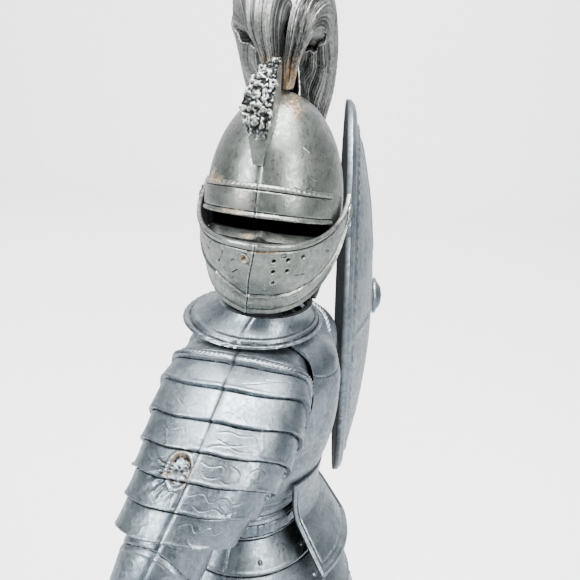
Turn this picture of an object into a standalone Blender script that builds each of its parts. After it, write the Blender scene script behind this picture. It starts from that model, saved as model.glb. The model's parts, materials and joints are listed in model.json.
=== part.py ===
"""Kit-built knight figure on a plinth, in metres, +Z up.

The figure looks along -Y, its right arm is at -X, and the origin is under the middle of the plinth.
The head is turned to the figure's right, so at rest the helmet faces -X.
"""

import math

import bmesh
import bpy
import numpy as np
from mathutils import Matrix, Vector

# Fits shared by every piece
GAP = 0.0003  # between pieces glued or resting on each other
PLAY = 0.0003  # between a turning shaft and its hole, all round
WALL = 0.0012  # moulded wall

# Plinth
BASE_WIDTH = 0.092
BASE_DEPTH = 0.076
BASE_HEIGHT = 0.007
BASE_CORNER = 0.014
BASE_EDGE = 0.0012

# Heights, each measured up from the one before it
LEG_HEIGHT = 0.109  # plinth top to the top of the thighs
HIP_HEIGHT = 0.0165  # thigh tops to the bottom of the belt
BELT_HEIGHT = 0.0052
TORSO_HEIGHT = 0.0385  # bottom edge of the breastplate to its neck opening

# Legs
STANCE = 0.0155  # ankle from the middle
HIP_SPREAD = 0.0108
THIGH_RADIUS = 0.0096
ANKLE_RADIUS = 0.0052
FOOT_LENGTH = 0.030
FOOT_WIDTH = 0.0112
FOOT_HEIGHT = 0.0072

# Torso
CHEST_HALF_WIDTH = 0.0195
CHEST_DEPTH = 0.0162
BACK_DEPTH = 0.0135
SKIRT_DROP = 0.0295
SKIRT_SIDE = 0.0262
SKIRT_FRONT = 0.0255
WAIST_SHAFT = 0.0040
WAIST_HEAD = 0.0062

# Neck and helmet
NECK_Y = -0.0015
NECK_SHAFT = 0.0030
NECK_HEAD = 0.0052
GORGET_RISE = 0.0045
GORGET_SIDE = 0.0138
GORGET_FRONT = 0.0130
PIVOT_RISE = 0.0194  # gorget top to the visor's pivot
SKULL_SIDE = 0.0125
SKULL_FRONT = 0.0150
SKULL_HEIGHT = 0.0205
VISOR_REACH = 0.0178
PIN_HEAD = 0.0016
FACE_SLANT = 0.29  # rise of the band, the slit and the visor's edge for each step forward
VISOR_SIDE_GAP = 0.0006

# Arms
ARM_SHAFT = 0.0026
ARM_HEAD = 0.0044
ARM_RADIUS = 0.0079
ELBOW_RADIUS = 0.0060
UPPER_ARM = 0.0165
FOREARM = 0.0225
LAMES = 7
LAME_STEP = 0.0007

# Sword and shield
BLADE_LENGTH = 0.080
BLADE_WIDTH = 0.0056
BLADE_CLEAR = 0.0015  # least height of the point over the plinth
SHIELD_HALF_WIDTH = 0.0270
SHIELD_HALF_HEIGHT = 0.0473
SHIELD_DOME = 0.0068
STUD_SHAFT = 0.0016
STUD_ALONG = 0.0155  # elbow to the stud, along the forearm

SOLE_Z = BASE_HEIGHT + GAP
THIGH_Z = SOLE_Z + LEG_HEIGHT
BELT_Z = THIGH_Z + HIP_HEIGHT
WAIST_Z = BELT_Z + BELT_HEIGHT + GAP
COLLAR_Z = WAIST_Z + TORSO_HEIGHT - 0.0012
HELMET_Z = COLLAR_Z + GORGET_RISE + 0.0006
PIVOT_Z = COLLAR_Z + GORGET_RISE + PIVOT_RISE

# colour, metallic, roughness
FINISHES = {
    "steel_paint": ((0.60, 0.62, 0.64, 1.0), 0.8, 0.38),
    "warm_steel_paint": ((0.62, 0.62, 0.60, 1.0), 0.8, 0.36),
    "bare_plastic": ((0.42, 0.43, 0.45, 1.0), 0.2, 0.5),
    "plume_paint": ((0.55, 0.56, 0.57, 1.0), 0.6, 0.48),
    "plinth": ((0.30, 0.31, 0.33, 1.0), 0.2, 0.6),
}


def clear_scene():
    for obj in list(bpy.data.objects):
        bpy.data.objects.remove(obj, do_unlink=True)


def new_collection(name):
    collection = bpy.data.collections.new(name)
    bpy.context.scene.collection.children.link(collection)
    return collection


def finish_material(name, finish):
    colour, metallic, roughness = FINISHES[finish]
    material = bpy.data.materials.new(name)
    material.use_nodes = True
    shader = material.node_tree.nodes["Principled BSDF"]
    shader.inputs["Base Color"].default_value = colour
    shader.inputs["Metallic"].default_value = metallic
    shader.inputs["Roughness"].default_value = roughness
    return material


def smooth_along(stations, values, at):
    """Cubic curve through the values at their stations, with slopes taken from the neighbours."""
    s = np.asarray(stations, float)
    v = np.asarray(values, float)
    at = np.clip(np.asarray(at, float), s[0], s[-1])
    slope = np.gradient(v, s, axis=0)
    i = np.clip(np.searchsorted(s, at) - 1, 0, len(s) - 2)
    step = s[i + 1] - s[i]
    t = (at - s[i]) / step
    if v.ndim > 1:
        t, step = t[..., None], step[..., None]
    before = (2 * t**3 - 3 * t**2 + 1) * v[i] + (t**3 - 2 * t**2 + t) * step * slope[i]
    after = (3 * t**2 - 2 * t**3) * v[i + 1] + (t**3 - t**2) * step * slope[i + 1]
    return before + after


def add_object(name, bm, body, finish, smooth=True):
    """Turns the bmesh, built in world space, into an object whose origin is the body's axis point."""
    bmesh.ops.remove_doubles(bm, verts=bm.verts, dist=2e-6)
    bmesh.ops.dissolve_degenerate(bm, edges=bm.edges, dist=1e-6)
    bmesh.ops.recalc_face_normals(bm, faces=bm.faces)
    mesh = bpy.data.meshes.new(name)
    bm.to_mesh(mesh)
    bm.free()
    if smooth:
        mesh.shade_smooth()
        mesh.set_sharp_from_angle(angle=math.radians(35))
    return add_mesh(name, mesh, body, finish)


def add_mesh(name, mesh, body, finish):
    obj = bpy.data.objects.new(name, mesh)
    figure.objects.link(obj)
    mesh.materials.append(finish_material(name, finish))
    axis = axes[body]
    mesh.transform(Matrix.Translation(-axis.location))
    obj.parent = axis
    return obj


def add_grid_faces(bm, grid, wrap):
    """Quads over a grid of points; wrap joins the last column to the first. Returns the vertices by row."""
    rows = [[bm.verts.new(point) for point in row] for row in grid]
    for upper, lower in zip(rows, rows[1:]):
        last = len(upper) if wrap else len(upper) - 1
        for i in range(last):
            j = (i + 1) % len(upper)
            bm.faces.new((upper[i], lower[i], lower[j], upper[j]))
    return rows


def add_shell(name, outer, inner, body, finish, wrap=False):
    """Closed wall between an outer and an inner grid of points, with its rims."""
    bm = bmesh.new()
    out_rows = add_grid_faces(bm, outer, wrap)
    in_rows = add_grid_faces(bm, inner, wrap)
    rims = [(out_rows[0], in_rows[0]), (out_rows[-1], in_rows[-1])]
    if not wrap:
        rims.append(([row[0] for row in out_rows], [row[0] for row in in_rows]))
        rims.append(([row[-1] for row in out_rows], [row[-1] for row in in_rows]))
    for number, (outside, inside) in enumerate(rims):
        last = len(outside) if wrap and number < 2 else len(outside) - 1
        for i in range(last):
            j = (i + 1) % len(outside)
            bm.faces.new((outside[i], outside[j], inside[j], inside[i]))
    return add_object(name, bm, body, finish)


def add_solid(name, grid, body, finish):
    """Closed body whose rows are rings, capped at both ends."""
    bm = bmesh.new()
    rows = add_grid_faces(bm, grid, True)
    bm.faces.new(rows[0])
    bm.faces.new(rows[-1])
    return add_object(name, bm, body, finish)


def frame_along(point, direction):
    """Matrix whose +Z is the direction and whose origin is the point."""
    turn = Vector(direction).to_track_quat("Z", "Y").to_matrix().to_4x4()
    return Matrix.Translation(Vector(point)) @ turn


def add_turned(name, profile, frame, body, finish, steps=16):
    """Profile of (radius, height) pairs, top to bottom down the outer side, turned round the frame's Z."""
    mesh = bpy.data.meshes.new(name)
    points = [(radius, 0.0, height) for radius, height in profile]
    mesh.from_pydata(points, [(i, i + 1) for i in range(len(points) - 1)], [])
    obj = bpy.data.objects.new(name, mesh)
    figure.objects.link(obj)
    screw = obj.modifiers.new("turned", "SCREW")
    screw.steps = steps
    screw.render_steps = steps
    screw.use_merge_vertices = True
    screw.merge_threshold = 1e-5
    mesh.materials.append(finish_material(name, finish))
    obj.parent = axes[body]
    obj.matrix_local = Matrix.Translation(-axes[body].location) @ frame
    return obj


def half_turn(side, count):
    """Angles from straight ahead (0) round one side to straight behind (pi); side is +1 or -1."""
    return side * np.linspace(0, math.pi, count)


def ring(centre, side, front, back, angles):
    """Points of an oval in the XY plane: side along X, front along -Y, back along +Y."""
    depth = np.where(np.cos(angles) > 0, front, back)
    x = centre[0] + side * np.sin(angles)
    y = centre[1] - depth * np.cos(angles)
    return np.stack([x, y, np.full_like(x, centre[2])], axis=-1)


def front_half(count):
    return np.linspace(-math.pi / 2, math.pi / 2, count)


def back_half(count):
    return np.linspace(math.pi / 2, 3 * math.pi / 2, count)


def shifted(grid, x=0.0, y=0.0, z=0.0):
    return np.asarray(grid) + np.array([x, y, z])


def cut(obj, cutter):
    modifier = obj.modifiers.new(cutter.name, "BOOLEAN")
    modifier.operation = "DIFFERENCE"
    modifier.solver = "EXACT"
    modifier.object = cutter


def hide_cutter(obj):
    figure.objects.unlink(obj)
    cutters.objects.link(obj)
    obj.hide_render = True
    obj.display_type = "WIRE"
    return obj


# ---- stand ----


def make_plinth():
    bpy.ops.mesh.primitive_cube_add(size=1, location=(0, 0, BASE_HEIGHT / 2))
    block = bpy.context.object
    block.name = "base_plinth"
    block.scale = (BASE_WIDTH, BASE_DEPTH, BASE_HEIGHT)
    bpy.ops.object.transform_apply(location=True, scale=True)
    corners = block.modifiers.new("corners", "BEVEL")
    corners.width = BASE_CORNER
    corners.segments = 6
    corners.limit_method = "WEIGHT"
    weight = block.data.attributes.new("bevel_weight_edge", "FLOAT", "EDGE")
    for edge in block.data.edges:
        a, b = (block.data.vertices[i].co for i in edge.vertices)
        weight.data[edge.index].value = 1.0 if abs(a.z - b.z) > BASE_HEIGHT / 2 else 0.0
    edges = block.modifiers.new("edges", "BEVEL")
    edges.width = BASE_EDGE
    edges.segments = 2
    edges.limit_method = "ANGLE"
    edges.angle_limit = math.radians(60)
    block.data.materials.append(finish_material("base_plinth", "plinth"))
    for collection in list(block.users_collection):
        collection.objects.unlink(block)
    figure.objects.link(block)


LEG_STATIONS = (0.0, 0.10, 0.28, 0.38, 0.47, 0.56, 0.66, 0.82, 1.0)  # ankle 0 to hip 1
LEG_SWELL = (0.0, 0.06, 0.62, 0.66, 0.42, 0.46, 0.62, 0.88, 1.0)  # ankle radius 0 to thigh radius 1
LEG_LEAN = (0.0, 0.0016, 0.0030, 0.0022, -0.0016, -0.0022, -0.0012, 0.0, 0.0006)


def leg_centre(side, part):
    """Centre of the leg at a share of its height."""
    x = side * (STANCE + (HIP_SPREAD - STANCE) * part)
    y = smooth_along(LEG_STATIONS, LEG_LEAN, part) + foot_y(side) * (1 - part)
    z = ankle_z() + (THIGH_Z - ankle_z()) * part
    return x, y, z


def foot_y(side):
    return -0.004 * side


def ankle_z():
    return SOLE_Z + FOOT_HEIGHT + GAP


def make_leg(side, name):
    parts = np.linspace(0, 1, 13)
    swell = smooth_along(LEG_STATIONS, LEG_SWELL, parts)
    radii = ANKLE_RADIUS + (THIGH_RADIUS - ANKLE_RADIUS) * swell
    for half, angles, shift in (("front", front_half(7), -GAP / 2), ("back", back_half(7), GAP / 2)):
        outer, inner = [], []
        for part, radius in zip(parts, radii):
            centre = leg_centre(side, part)
            outer.append(ring(centre, radius, radius, radius, angles))
            inner.append(ring(centre, radius - WALL, radius - WALL, radius - WALL, angles))
        add_shell(f"{name}_leg_{half}", shifted(outer, y=shift), shifted(inner, y=shift), "stand", "steel_paint")


def make_knee_cop(side, name):
    """Domed cap over the front of the knee, with a wing on its outer side."""
    heights = np.linspace(-1, 1, 7)
    angles = np.linspace(-1.25, 1.25, 9)
    outer, inner = [], []
    for height in heights:
        part = 0.475 + 0.0068 * height / (THIGH_Z - ankle_z())
        swell = smooth_along(LEG_STATIONS, LEG_SWELL, part)
        clear = ANKLE_RADIUS + (THIGH_RADIUS - ANKLE_RADIUS) * swell + 2 * GAP
        bulge = math.sqrt(1 - 0.75 * height**2)
        centre = leg_centre(side, part)
        outer.append(ring(centre, clear + 0.0024 * bulge, clear + 0.0034 * bulge, clear, angles))
        inner.append(ring(centre, clear, clear, clear, angles))
    add_shell(f"{name}_knee_cop", outer, inner, "stand", "steel_paint")


def make_foot(side, name):
    """Pointed shoe: rings across the foot from heel to toe, flat underneath."""
    stations = np.linspace(0, 1, 8)
    widths = smooth_along((0, 0.15, 0.45, 0.65, 0.85, 1.0), (0.30, 0.72, 0.86, 1.0, 0.66, 0.10), stations)
    heights = smooth_along((0, 0.15, 0.35, 0.6, 0.85, 1.0), (0.55, 1.0, 0.98, 0.66, 0.42, 0.22), stations)
    heel = foot_y(side) + FOOT_LENGTH * 0.30
    turn = math.radians(12) * side
    rows = []
    for station, width, height in zip(stations, widths, heights):
        half = FOOT_WIDTH / 2 * width
        top = FOOT_HEIGHT * height
        angles = np.linspace(0, math.pi, 7)
        across = np.concatenate([half * np.cos(angles), [-half * 0.9, half * 0.9]])
        up = np.concatenate([top * (0.25 + 0.75 * np.sin(angles)), [0.0, 0.0]])
        forward = heel - FOOT_LENGTH * station
        x = side * STANCE + across * math.cos(turn) - (forward - foot_y(side)) * math.sin(turn)
        y = foot_y(side) + (forward - foot_y(side)) * math.cos(turn) + across * math.sin(turn)
        rows.append(np.stack([x, y, SOLE_Z + up], axis=-1))
    add_solid(f"{name}_foot", rows, "stand", "steel_paint")


def make_hip_block():
    """Solid core that joins the legs to the belt, and stops under the turning peg."""
    top = BELT_Z - 0.0042
    bottom = THIGH_Z + GAP
    wide = HIP_SPREAD + THIGH_RADIUS * 0.55
    deep = THIGH_RADIUS * 0.85
    angles = np.linspace(0, 2 * math.pi, 20, endpoint=False)
    rows = []
    for z, share in ((bottom, 0.9), (bottom + 0.003, 1.0), (top - 0.003, 0.78), (top, 0.62)):
        rows.append(ring((0, 0, z), wide * share, deep * share, deep * share, angles))
    add_solid("hip_block", rows, "stand", "bare_plastic")


def belt_oval(grow):
    """Side, front and back half sizes of the waist, grown by the given amount."""
    return CHEST_HALF_WIDTH * 0.72 + grow, CHEST_DEPTH * 0.67 + grow, BACK_DEPTH * 0.74 + grow


def make_belt():
    angles = np.linspace(0, 2 * math.pi, 24, endpoint=False)
    outer, inner = [], []
    for share, grow in ((0.0, 0.0), (0.25, 0.0009), (0.75, 0.0009), (1.0, 0.0)):
        z = BELT_Z + BELT_HEIGHT * share
        outer.append(ring((0, 0, z), *belt_oval(grow), angles))
        inner.append(ring((0, 0, z), *belt_oval(-WALL), angles))
    add_shell("waist_belt", outer, inner, "stand", "steel_paint", wrap=True)


def skirt_oval(share):
    """Half sizes of the skirt at a share of its drop: 0 at the belt, 1 at the hem."""
    side, front, back = belt_oval(0.0)
    spread = smooth_along((0.0, 0.25, 0.55, 1.0), (0.0, 0.36, 0.76, 1.0), share)
    return (
        side + (SKIRT_SIDE - side) * spread,
        front + (SKIRT_FRONT - front) * spread,
        back + (SKIRT_SIDE * 0.88 - back) * spread,
    )


def make_skirt():
    """Five overlapping hoops, in a front and a back half."""
    hoops = 5
    for half, angles, shift in (("front", front_half(13), -GAP / 2), ("back", back_half(13), GAP / 2)):
        outer, inner = [], []
        for hoop in range(hoops):
            for end, lift in ((0.0, 0.0), (0.96, LAME_STEP)):
                share = (hoop + end) / hoops
                z = BELT_Z - GAP - SKIRT_DROP * share
                sizes = skirt_oval(share)
                outer.append(ring((0, 0, z), *(size + lift for size in sizes), angles))
                inner.append(ring((0, 0, z), *(size - WALL for size in sizes), angles))
        add_shell(f"skirt_{half}", shifted(outer, y=shift), shifted(inner, y=shift), "stand", "steel_paint")


def make_tasset(side, name):
    """Thigh plate hung from the hem, curved round the front of the leg."""
    hem = BELT_Z - GAP - SKIRT_DROP - GAP
    angles = np.linspace(0.10, 0.98, 7) * side
    outer, inner = [], []
    for share in np.linspace(0, 1, 5):
        drop = 0.0165 * share
        taper = 1 - 0.45 * share**2
        middle = 0.54 * side
        spread = middle + (angles - middle) * taper
        sizes = [size + LAME_STEP - 0.0035 * share for size in skirt_oval(1.0)]
        outer.append(ring((0, 0, hem - drop), *sizes, spread))
        inner.append(ring((0, 0, hem - drop), *(size - WALL for size in sizes), spread))
    add_shell(f"{name}_tasset", outer, inner, "stand", "steel_paint")


def make_waist_pivot():
    """Collar in the belt, and the headed peg of the torso that turns in it."""
    _, _, back = belt_oval(-WALL)
    outside = back - GAP
    hole = WAIST_SHAFT + PLAY
    low, high = BELT_Z - 0.0016, BELT_Z + 0.0034
    profile = [(hole, high), (outside, high), (outside, low), (hole, low), (hole, high)]
    add_turned("waist_collar", profile, Matrix.Identity(4), "stand", "bare_plastic", 24)
    floor = WAIST_Z + 0.0012
    disc = back + 0.0002
    profile = [
        (0, floor + 0.0014),
        (disc, floor + 0.0014),
        (disc, floor),
        (WAIST_SHAFT, floor),
        (WAIST_SHAFT, low - PLAY),
        (WAIST_HEAD, low - PLAY),
        (WAIST_HEAD, low - PLAY - 0.0016),
        (0, low - PLAY - 0.0016),
    ]
    add_turned("waist_peg", profile, Matrix.Identity(4), "torso", "bare_plastic", 24)


# ---- torso ----

TORSO_STATIONS = (0.0, 0.18, 0.34, 0.57, 0.75, 0.88, 0.95, 1.0)
TORSO_SIDE = (0.72, 0.85, 0.93, 1.0, 0.97, 0.80, 0.57, 0.44)
TORSO_FRONT = (0.67, 0.83, 0.94, 1.0, 0.97, 0.84, 0.62, 0.52)
TORSO_BACK = (0.74, 0.85, 0.93, 1.0, 1.0, 0.92, 0.73, 0.62)


def torso_oval(share):
    return (
        CHEST_HALF_WIDTH * smooth_along(TORSO_STATIONS, TORSO_SIDE, share),
        CHEST_DEPTH * smooth_along(TORSO_STATIONS, TORSO_FRONT, share),
        BACK_DEPTH * smooth_along(TORSO_STATIONS, TORSO_BACK, share),
    )


def make_torso():
    shares = np.linspace(0, 1, 13)
    for name, angles, shift in (("breastplate", front_half(15), -GAP / 2), ("backplate", back_half(15), GAP / 2)):
        outer, inner = [], []
        for share in shares:
            z = WAIST_Z + TORSO_HEIGHT * share
            sizes = torso_oval(share)
            outer.append(ring((0, 0, z), *sizes, angles))
            inner.append(ring((0, 0, z), *(size - WALL for size in sizes), angles))
        plate = add_shell(name, shifted(outer, y=shift), shifted(inner, y=shift), "torso", "steel_paint")
        for cutter in armhole_cutters:
            cut(plate, cutter)


def make_waist_flange():
    """Flared lip on the front of the breastplate that hangs over the belt."""
    angles = np.linspace(-0.66, 0.66, 11)
    outer, inner = [], []
    for share, flare in ((0.0, 0.0), (0.3, 0.0014), (0.62, 0.0052), (1.0, 0.0098)):
        z = WAIST_Z + 0.0075 - 0.0165 * share
        base = torso_oval(max(0.0, (z - WAIST_Z) / TORSO_HEIGHT))
        sizes = [size + flare + GAP * 1.5 for size in base]
        z -= 0.0030 * share
        outer.append(ring((0, 0, z), *(size + 0.0009 for size in sizes), angles * (1 - 0.25 * share)))
        inner.append(ring((0, 0, z), *sizes, angles * (1 - 0.25 * share)))
    add_shell("waist_flange", outer, inner, "torso", "steel_paint")


def make_gorget():
    for half, angles, shift in (("front", front_half(11), -GAP / 2), ("back", back_half(11), GAP / 2)):
        outer, inner = [], []
        for share, lift in ((0.0, 0.0004), (0.18, 0.0006), (0.26, 0.0), (0.6, 0.0), (1.0, 0.0)):
            grow = lift - 0.0040 * share - 0.0006 * math.sin(math.pi * share)
            centre = (0, 0.0014 - 0.0024 * share, COLLAR_Z + GORGET_RISE * share)
            sizes = (GORGET_SIDE + grow, GORGET_FRONT + grow, GORGET_FRONT + grow)
            outer.append(ring(centre, *sizes, angles))
            inner.append(ring(centre, *(size - WALL for size in sizes), angles))
        add_shell(f"gorget_{half}", shifted(outer, y=shift), shifted(inner, y=shift), "torso", "steel_paint")


def make_neck_post():
    """Headed post that the helmet turns on, with a disc that seats in the neck opening."""
    seat = WAIST_Z + TORSO_HEIGHT * 0.955
    disc = BACK_DEPTH * 0.70 - WALL - GAP
    under_head = HELMET_Z + 0.0008 + HELMET_FLOOR + PLAY
    profile = [
        (0, under_head + 0.0018),
        (NECK_HEAD, under_head + 0.0018),
        (NECK_HEAD, under_head),
        (NECK_SHAFT, under_head),
        (NECK_SHAFT, seat + 0.0014),
        (disc * 0.7, seat + 0.0014),
        (disc * 0.7, seat),
        (0, seat),
    ]
    frame = Matrix.Translation(Vector((0, NECK_Y, 0)))
    add_turned("neck_post", profile, frame, "torso", "bare_plastic", 20)


# ---- pauldrons ----

PAULDRON_STATIONS = (0.0, 0.25, 0.5, 0.75, 1.0)
PAULDRON_FRONT = (0.0124, 0.0138, 0.0136, 0.0122, 0.0104)
PAULDRON_THICK = (0.0076, 0.0094, 0.0104, 0.0102, 0.0096)
PAULDRON_TILT = (90.0, 74.0, 54.0, 37.0, 24.0)  # degrees from level of the section's outward side
# Centre of the sleeve: outwards from the chest's side, back, and up from the waist
PAULDRON_OUT = (-0.0125, -0.0045, 0.0020, 0.0065, 0.0105)
PAULDRON_UP = (0.0286, 0.0266, 0.0202, 0.0134, 0.0066)
PAULDRON_BACK = {
    -1: (0.0006, 0.0004, 0.0014, 0.0034, 0.0062),
    1: (0.0010, 0.0010, 0.0016, 0.0028, 0.0044),
}
SHAFT_LEAN = {-1: (0.43, 0.30, 0.85), 1: (0.45, 0.22, 0.865)}  # outwards, back, down


def shoulder_end(side):
    """Centre of the pauldron's lower opening, and the upper arm's direction."""
    end = Vector(
        (
            side * (CHEST_HALF_WIDTH + PAULDRON_OUT[-1]),
            PAULDRON_BACK[side][-1],
            WAIST_Z + PAULDRON_UP[-1],
        )
    )
    out, back, down = SHAFT_LEAN[side]
    return end, Vector((side * out, back, -down)).normalized()


def sleeve_row(side, station, angles, grow):
    """One section of the shoulder sleeve: angle 0 is the front and +90 degrees the outer side."""
    out = CHEST_HALF_WIDTH + smooth_along(PAULDRON_STATIONS, PAULDRON_OUT, station)
    back = smooth_along(PAULDRON_STATIONS, PAULDRON_BACK[side], station)
    up = WAIST_Z + smooth_along(PAULDRON_STATIONS, PAULDRON_UP, station)
    tilt = math.radians(float(smooth_along(PAULDRON_STATIONS, PAULDRON_TILT, station)))
    front = smooth_along(PAULDRON_STATIONS, PAULDRON_FRONT, station) + grow
    thick = smooth_along(PAULDRON_STATIONS, PAULDRON_THICK, station) + grow
    outward = thick * np.sin(angles)
    x = side * (out + outward * math.cos(tilt))
    y = back - front * np.cos(angles)
    z = up + outward * math.sin(tilt)
    return np.stack([x, y, z], axis=-1)


def make_armhole_cutter(side, name):
    angles = np.linspace(0, 2 * math.pi, 24, endpoint=False)
    rows = [sleeve_row(side, station, angles, LAME_STEP + GAP) for station in np.linspace(0, 1, 9)]
    return hide_cutter(add_solid(f"{name}_armhole", rows, "torso", "bare_plastic"))


def make_pauldron(side, name):
    """Sleeve of overlapping lames, split front and back along the arm."""
    for half, angles in (("front", front_half(8)), ("back", back_half(8))):
        shift = -GAP / 2 if half == "front" else GAP / 2
        outer, inner = [], []
        for lame in range(LAMES):
            for end, lift in ((0.0, 0.0), (0.94, LAME_STEP)):
                station = (lame + end) / LAMES
                outer.append(sleeve_row(side, station, angles, lift))
                inner.append(sleeve_row(side, station, angles, -WALL))
        add_shell(f"{name}_pauldron_{half}", shifted(outer, y=shift), shifted(inner, y=shift), "torso", "steel_paint")


def make_arm_socket(side, name):
    """Collar across the pauldron's mouth that the arm peg turns in."""
    end, along = shoulder_end(side)
    hole = ARM_SHAFT + PLAY
    outside = min(PAULDRON_FRONT[-1], PAULDRON_THICK[-1]) - WALL - 5 * GAP
    frame = frame_along(end, -along)
    profile = [(hole, 0.0085), (outside, 0.0085), (outside, 0.0060), (hole, 0.0060), (hole, 0.0085)]
    add_turned(f"{name}_arm_socket", profile, frame, "torso", "bare_plastic", 20)


# ---- arms ----


def make_arm(side, name, body, elbow_to_wrist):
    """Peg, two-part upper arm, elbow cop, forearm and fist."""
    end, along = shoulder_end(side)
    frame = frame_along(end, -along)
    cap = 0.0044
    disc = ARM_RADIUS * 0.93 - WALL - GAP
    profile = [
        (0, 0.0106),
        (ARM_HEAD, 0.0106),
        (ARM_HEAD, 0.0085 + PLAY),
        (ARM_SHAFT, 0.0085 + PLAY),
        (ARM_SHAFT, cap),
        (disc, cap),
        (disc, cap - 0.0016),
        (0, cap - 0.0016),
    ]
    add_turned(f"{name}_arm_peg", profile, frame, body, "bare_plastic", 16)
    stations = np.array([0.0045, 0.0, -0.005, -0.0105, -UPPER_ARM])
    radii = np.array([0.93, 0.97, 1.0, 0.93, 0.80]) * ARM_RADIUS
    for half, angles in (("front", front_half(9)), ("back", back_half(9))):
        shift = -GAP / 2 if half == "front" else GAP / 2
        outer, inner = [], []
        for station, radius in zip(stations, radii):
            outer.append(arm_row(frame, station, radius, angles, shift))
            inner.append(arm_row(frame, station, radius - WALL, angles, shift))
        add_shell(f"{name}_upper_arm_{half}", outer, inner, body, "steel_paint")
    elbow = end + along * (UPPER_ARM + 0.0042)
    reach = Vector(elbow_to_wrist).normalized()
    make_elbow(name, body, elbow, along, reach)
    return make_forearm(name, body, elbow, reach)


def arm_row(frame, station, radius, angles, shift):
    """Half ring round the frame's Z, split front and back: the front half looks along world -Y."""
    inverse = frame.to_3x3().inverted()
    ahead = inverse @ Vector((0, -1, 0))
    ahead = Vector((ahead.x, ahead.y, 0)).normalized()
    across = Vector((-ahead.y, ahead.x, 0))
    points = []
    for angle in angles:
        local = ahead * (radius * math.cos(angle) - shift) + across * (radius * math.sin(angle))
        points.append(frame @ Vector((local.x, local.y, station)))
    return np.array(points)


def make_elbow(name, body, elbow, along, reach):
    """Ball of the elbow with a raised band, wider across the bend."""
    across = along.cross(reach).normalized()
    frame = frame_along(elbow, across)
    wide = ARM_RADIUS * 0.68
    round_half = ELBOW_RADIUS
    profile = [(0, wide), (round_half * 0.55, wide * 0.97), (round_half * 0.9, wide * 0.6), (round_half, 0)]
    profile += [(radius, -height) for radius, height in reversed(profile[:-1])]
    add_turned(f"{name}_elbow_cop", profile, frame, body, "steel_paint", 16)


def make_forearm(name, body, elbow, reach):
    """Forearm with a flared end. Returns it and the place of the wrist."""
    start = ELBOW_RADIUS + GAP
    frame = frame_along(elbow, reach)
    thick = ARM_RADIUS * 0.72
    slim = ARM_RADIUS * 0.58
    profile = [
        (0, FOREARM),
        (slim, FOREARM),
        (slim * 0.96, FOREARM - 0.004),
        (thick, start + (FOREARM - start) * 0.42),
        (thick * 0.62, start),
        (0, start),
    ]
    forearm = add_turned(f"{name}_vambrace", profile, frame, body, "steel_paint", 16)
    return forearm, elbow + reach * (FOREARM + GAP)


def fist_rows(wrist, reach, up):
    """Cuff and clenched hand along the reach; up is the direction that a held grip runs."""
    across = reach.cross(up).normalized()
    up = across.cross(reach).normalized()
    angles = np.linspace(0, 2 * math.pi, 14, endpoint=False)
    rows = []
    for along, wide, tall in (
        (0.0, 0.0040, 0.0040),
        (0.0022, 0.0050, 0.0052),
        (0.0034, 0.0038, 0.0044),
        (0.0060, 0.0044, 0.0052),
        (0.0100, 0.0042, 0.0052),
        (0.0118, 0.0028, 0.0044),
    ):
        middle = wrist + reach * along
        rows.append(
            np.array([middle + across * (wide * math.cos(a)) + up * (tall * math.sin(a)) for a in angles])
        )
    return rows


def make_sword(fist, up):
    """Hilt through the fist, with the blade pointing down."""
    grip = 0.0014
    frame = frame_along(fist, up)
    guard_top = -0.0062
    profile = [
        (0, 0.0142),
        (0.0018, 0.0136),
        (0.0027, 0.0116),
        (0.0018, 0.0096),
        (grip, 0.0090),
        (grip, guard_top),
        (0.0024, guard_top - 0.0002),
        (0.0024, guard_top - 0.0020),
        (0, guard_top - 0.0020),
    ]
    add_turned("sword_grip", profile, frame, "right_arm", "steel_paint", 12)
    bore = grip + GAP
    profile = [(0, 0.0088), (bore, 0.0088), (bore, guard_top), (0, guard_top)]
    grip_bore = hide_cutter(add_turned("grip_bore", profile, frame, "right_arm", "bare_plastic", 12))
    guard = guard_top - 0.0020 - GAP - 0.0011
    half = 0.0105
    bm = bmesh.new()
    bmesh.ops.create_cube(bm, size=1)
    bmesh.ops.scale(bm, verts=bm.verts, vec=(2 * half, 0.0024, 0.0022))
    bmesh.ops.transform(bm, verts=bm.verts, matrix=frame @ Matrix.Translation((0, 0, guard)))
    add_object("sword_guard", bm, "right_arm", "steel_paint", smooth=False)
    top = guard - 0.0011 - GAP
    room = (frame.translation.z - BASE_HEIGHT - BLADE_CLEAR) / frame.col[2].z
    length = min(BLADE_LENGTH, top + room)
    rows = []
    for share, width, thick in ((0.0, 1.0, 1.0), (0.5, 0.86, 0.9), (0.88, 0.62, 0.8), (1.0, 0.06, 0.3)):
        wide = BLADE_WIDTH / 2 * width
        deep = 0.0009 * thick
        z = top - length * share
        corners = [(wide, 0), (0, deep), (-wide, 0), (0, -deep)]
        rows.append(np.array([frame @ Vector((x, y, z)) for x, y in corners]))
    add_solid("sword_blade", rows, "right_arm", "steel_paint")
    return grip_bore


# ---- shield ----

SHIELD_NORMAL = Vector((0.19, -0.98, 0.05)).normalized()


def shield_frame():
    """Middle of the shield's rim: local Z is the way it faces and local Y is up."""
    middle = Vector((CHEST_HALF_WIDTH + 0.0265, -CHEST_DEPTH + 0.0062, WAIST_Z + TORSO_HEIGHT * 0.657))
    across = Vector((0, 0, 1)).cross(SHIELD_NORMAL).normalized()
    up = SHIELD_NORMAL.cross(across)
    turn = Matrix((across, up, SHIELD_NORMAL)).transposed().to_4x4()
    return Matrix.Translation(middle) @ turn


def dish_height(share):
    """Height of the shield's outside above its rim at a share of the way out from the middle."""
    return SHIELD_DOME * (1 - share**2.2)


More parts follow.
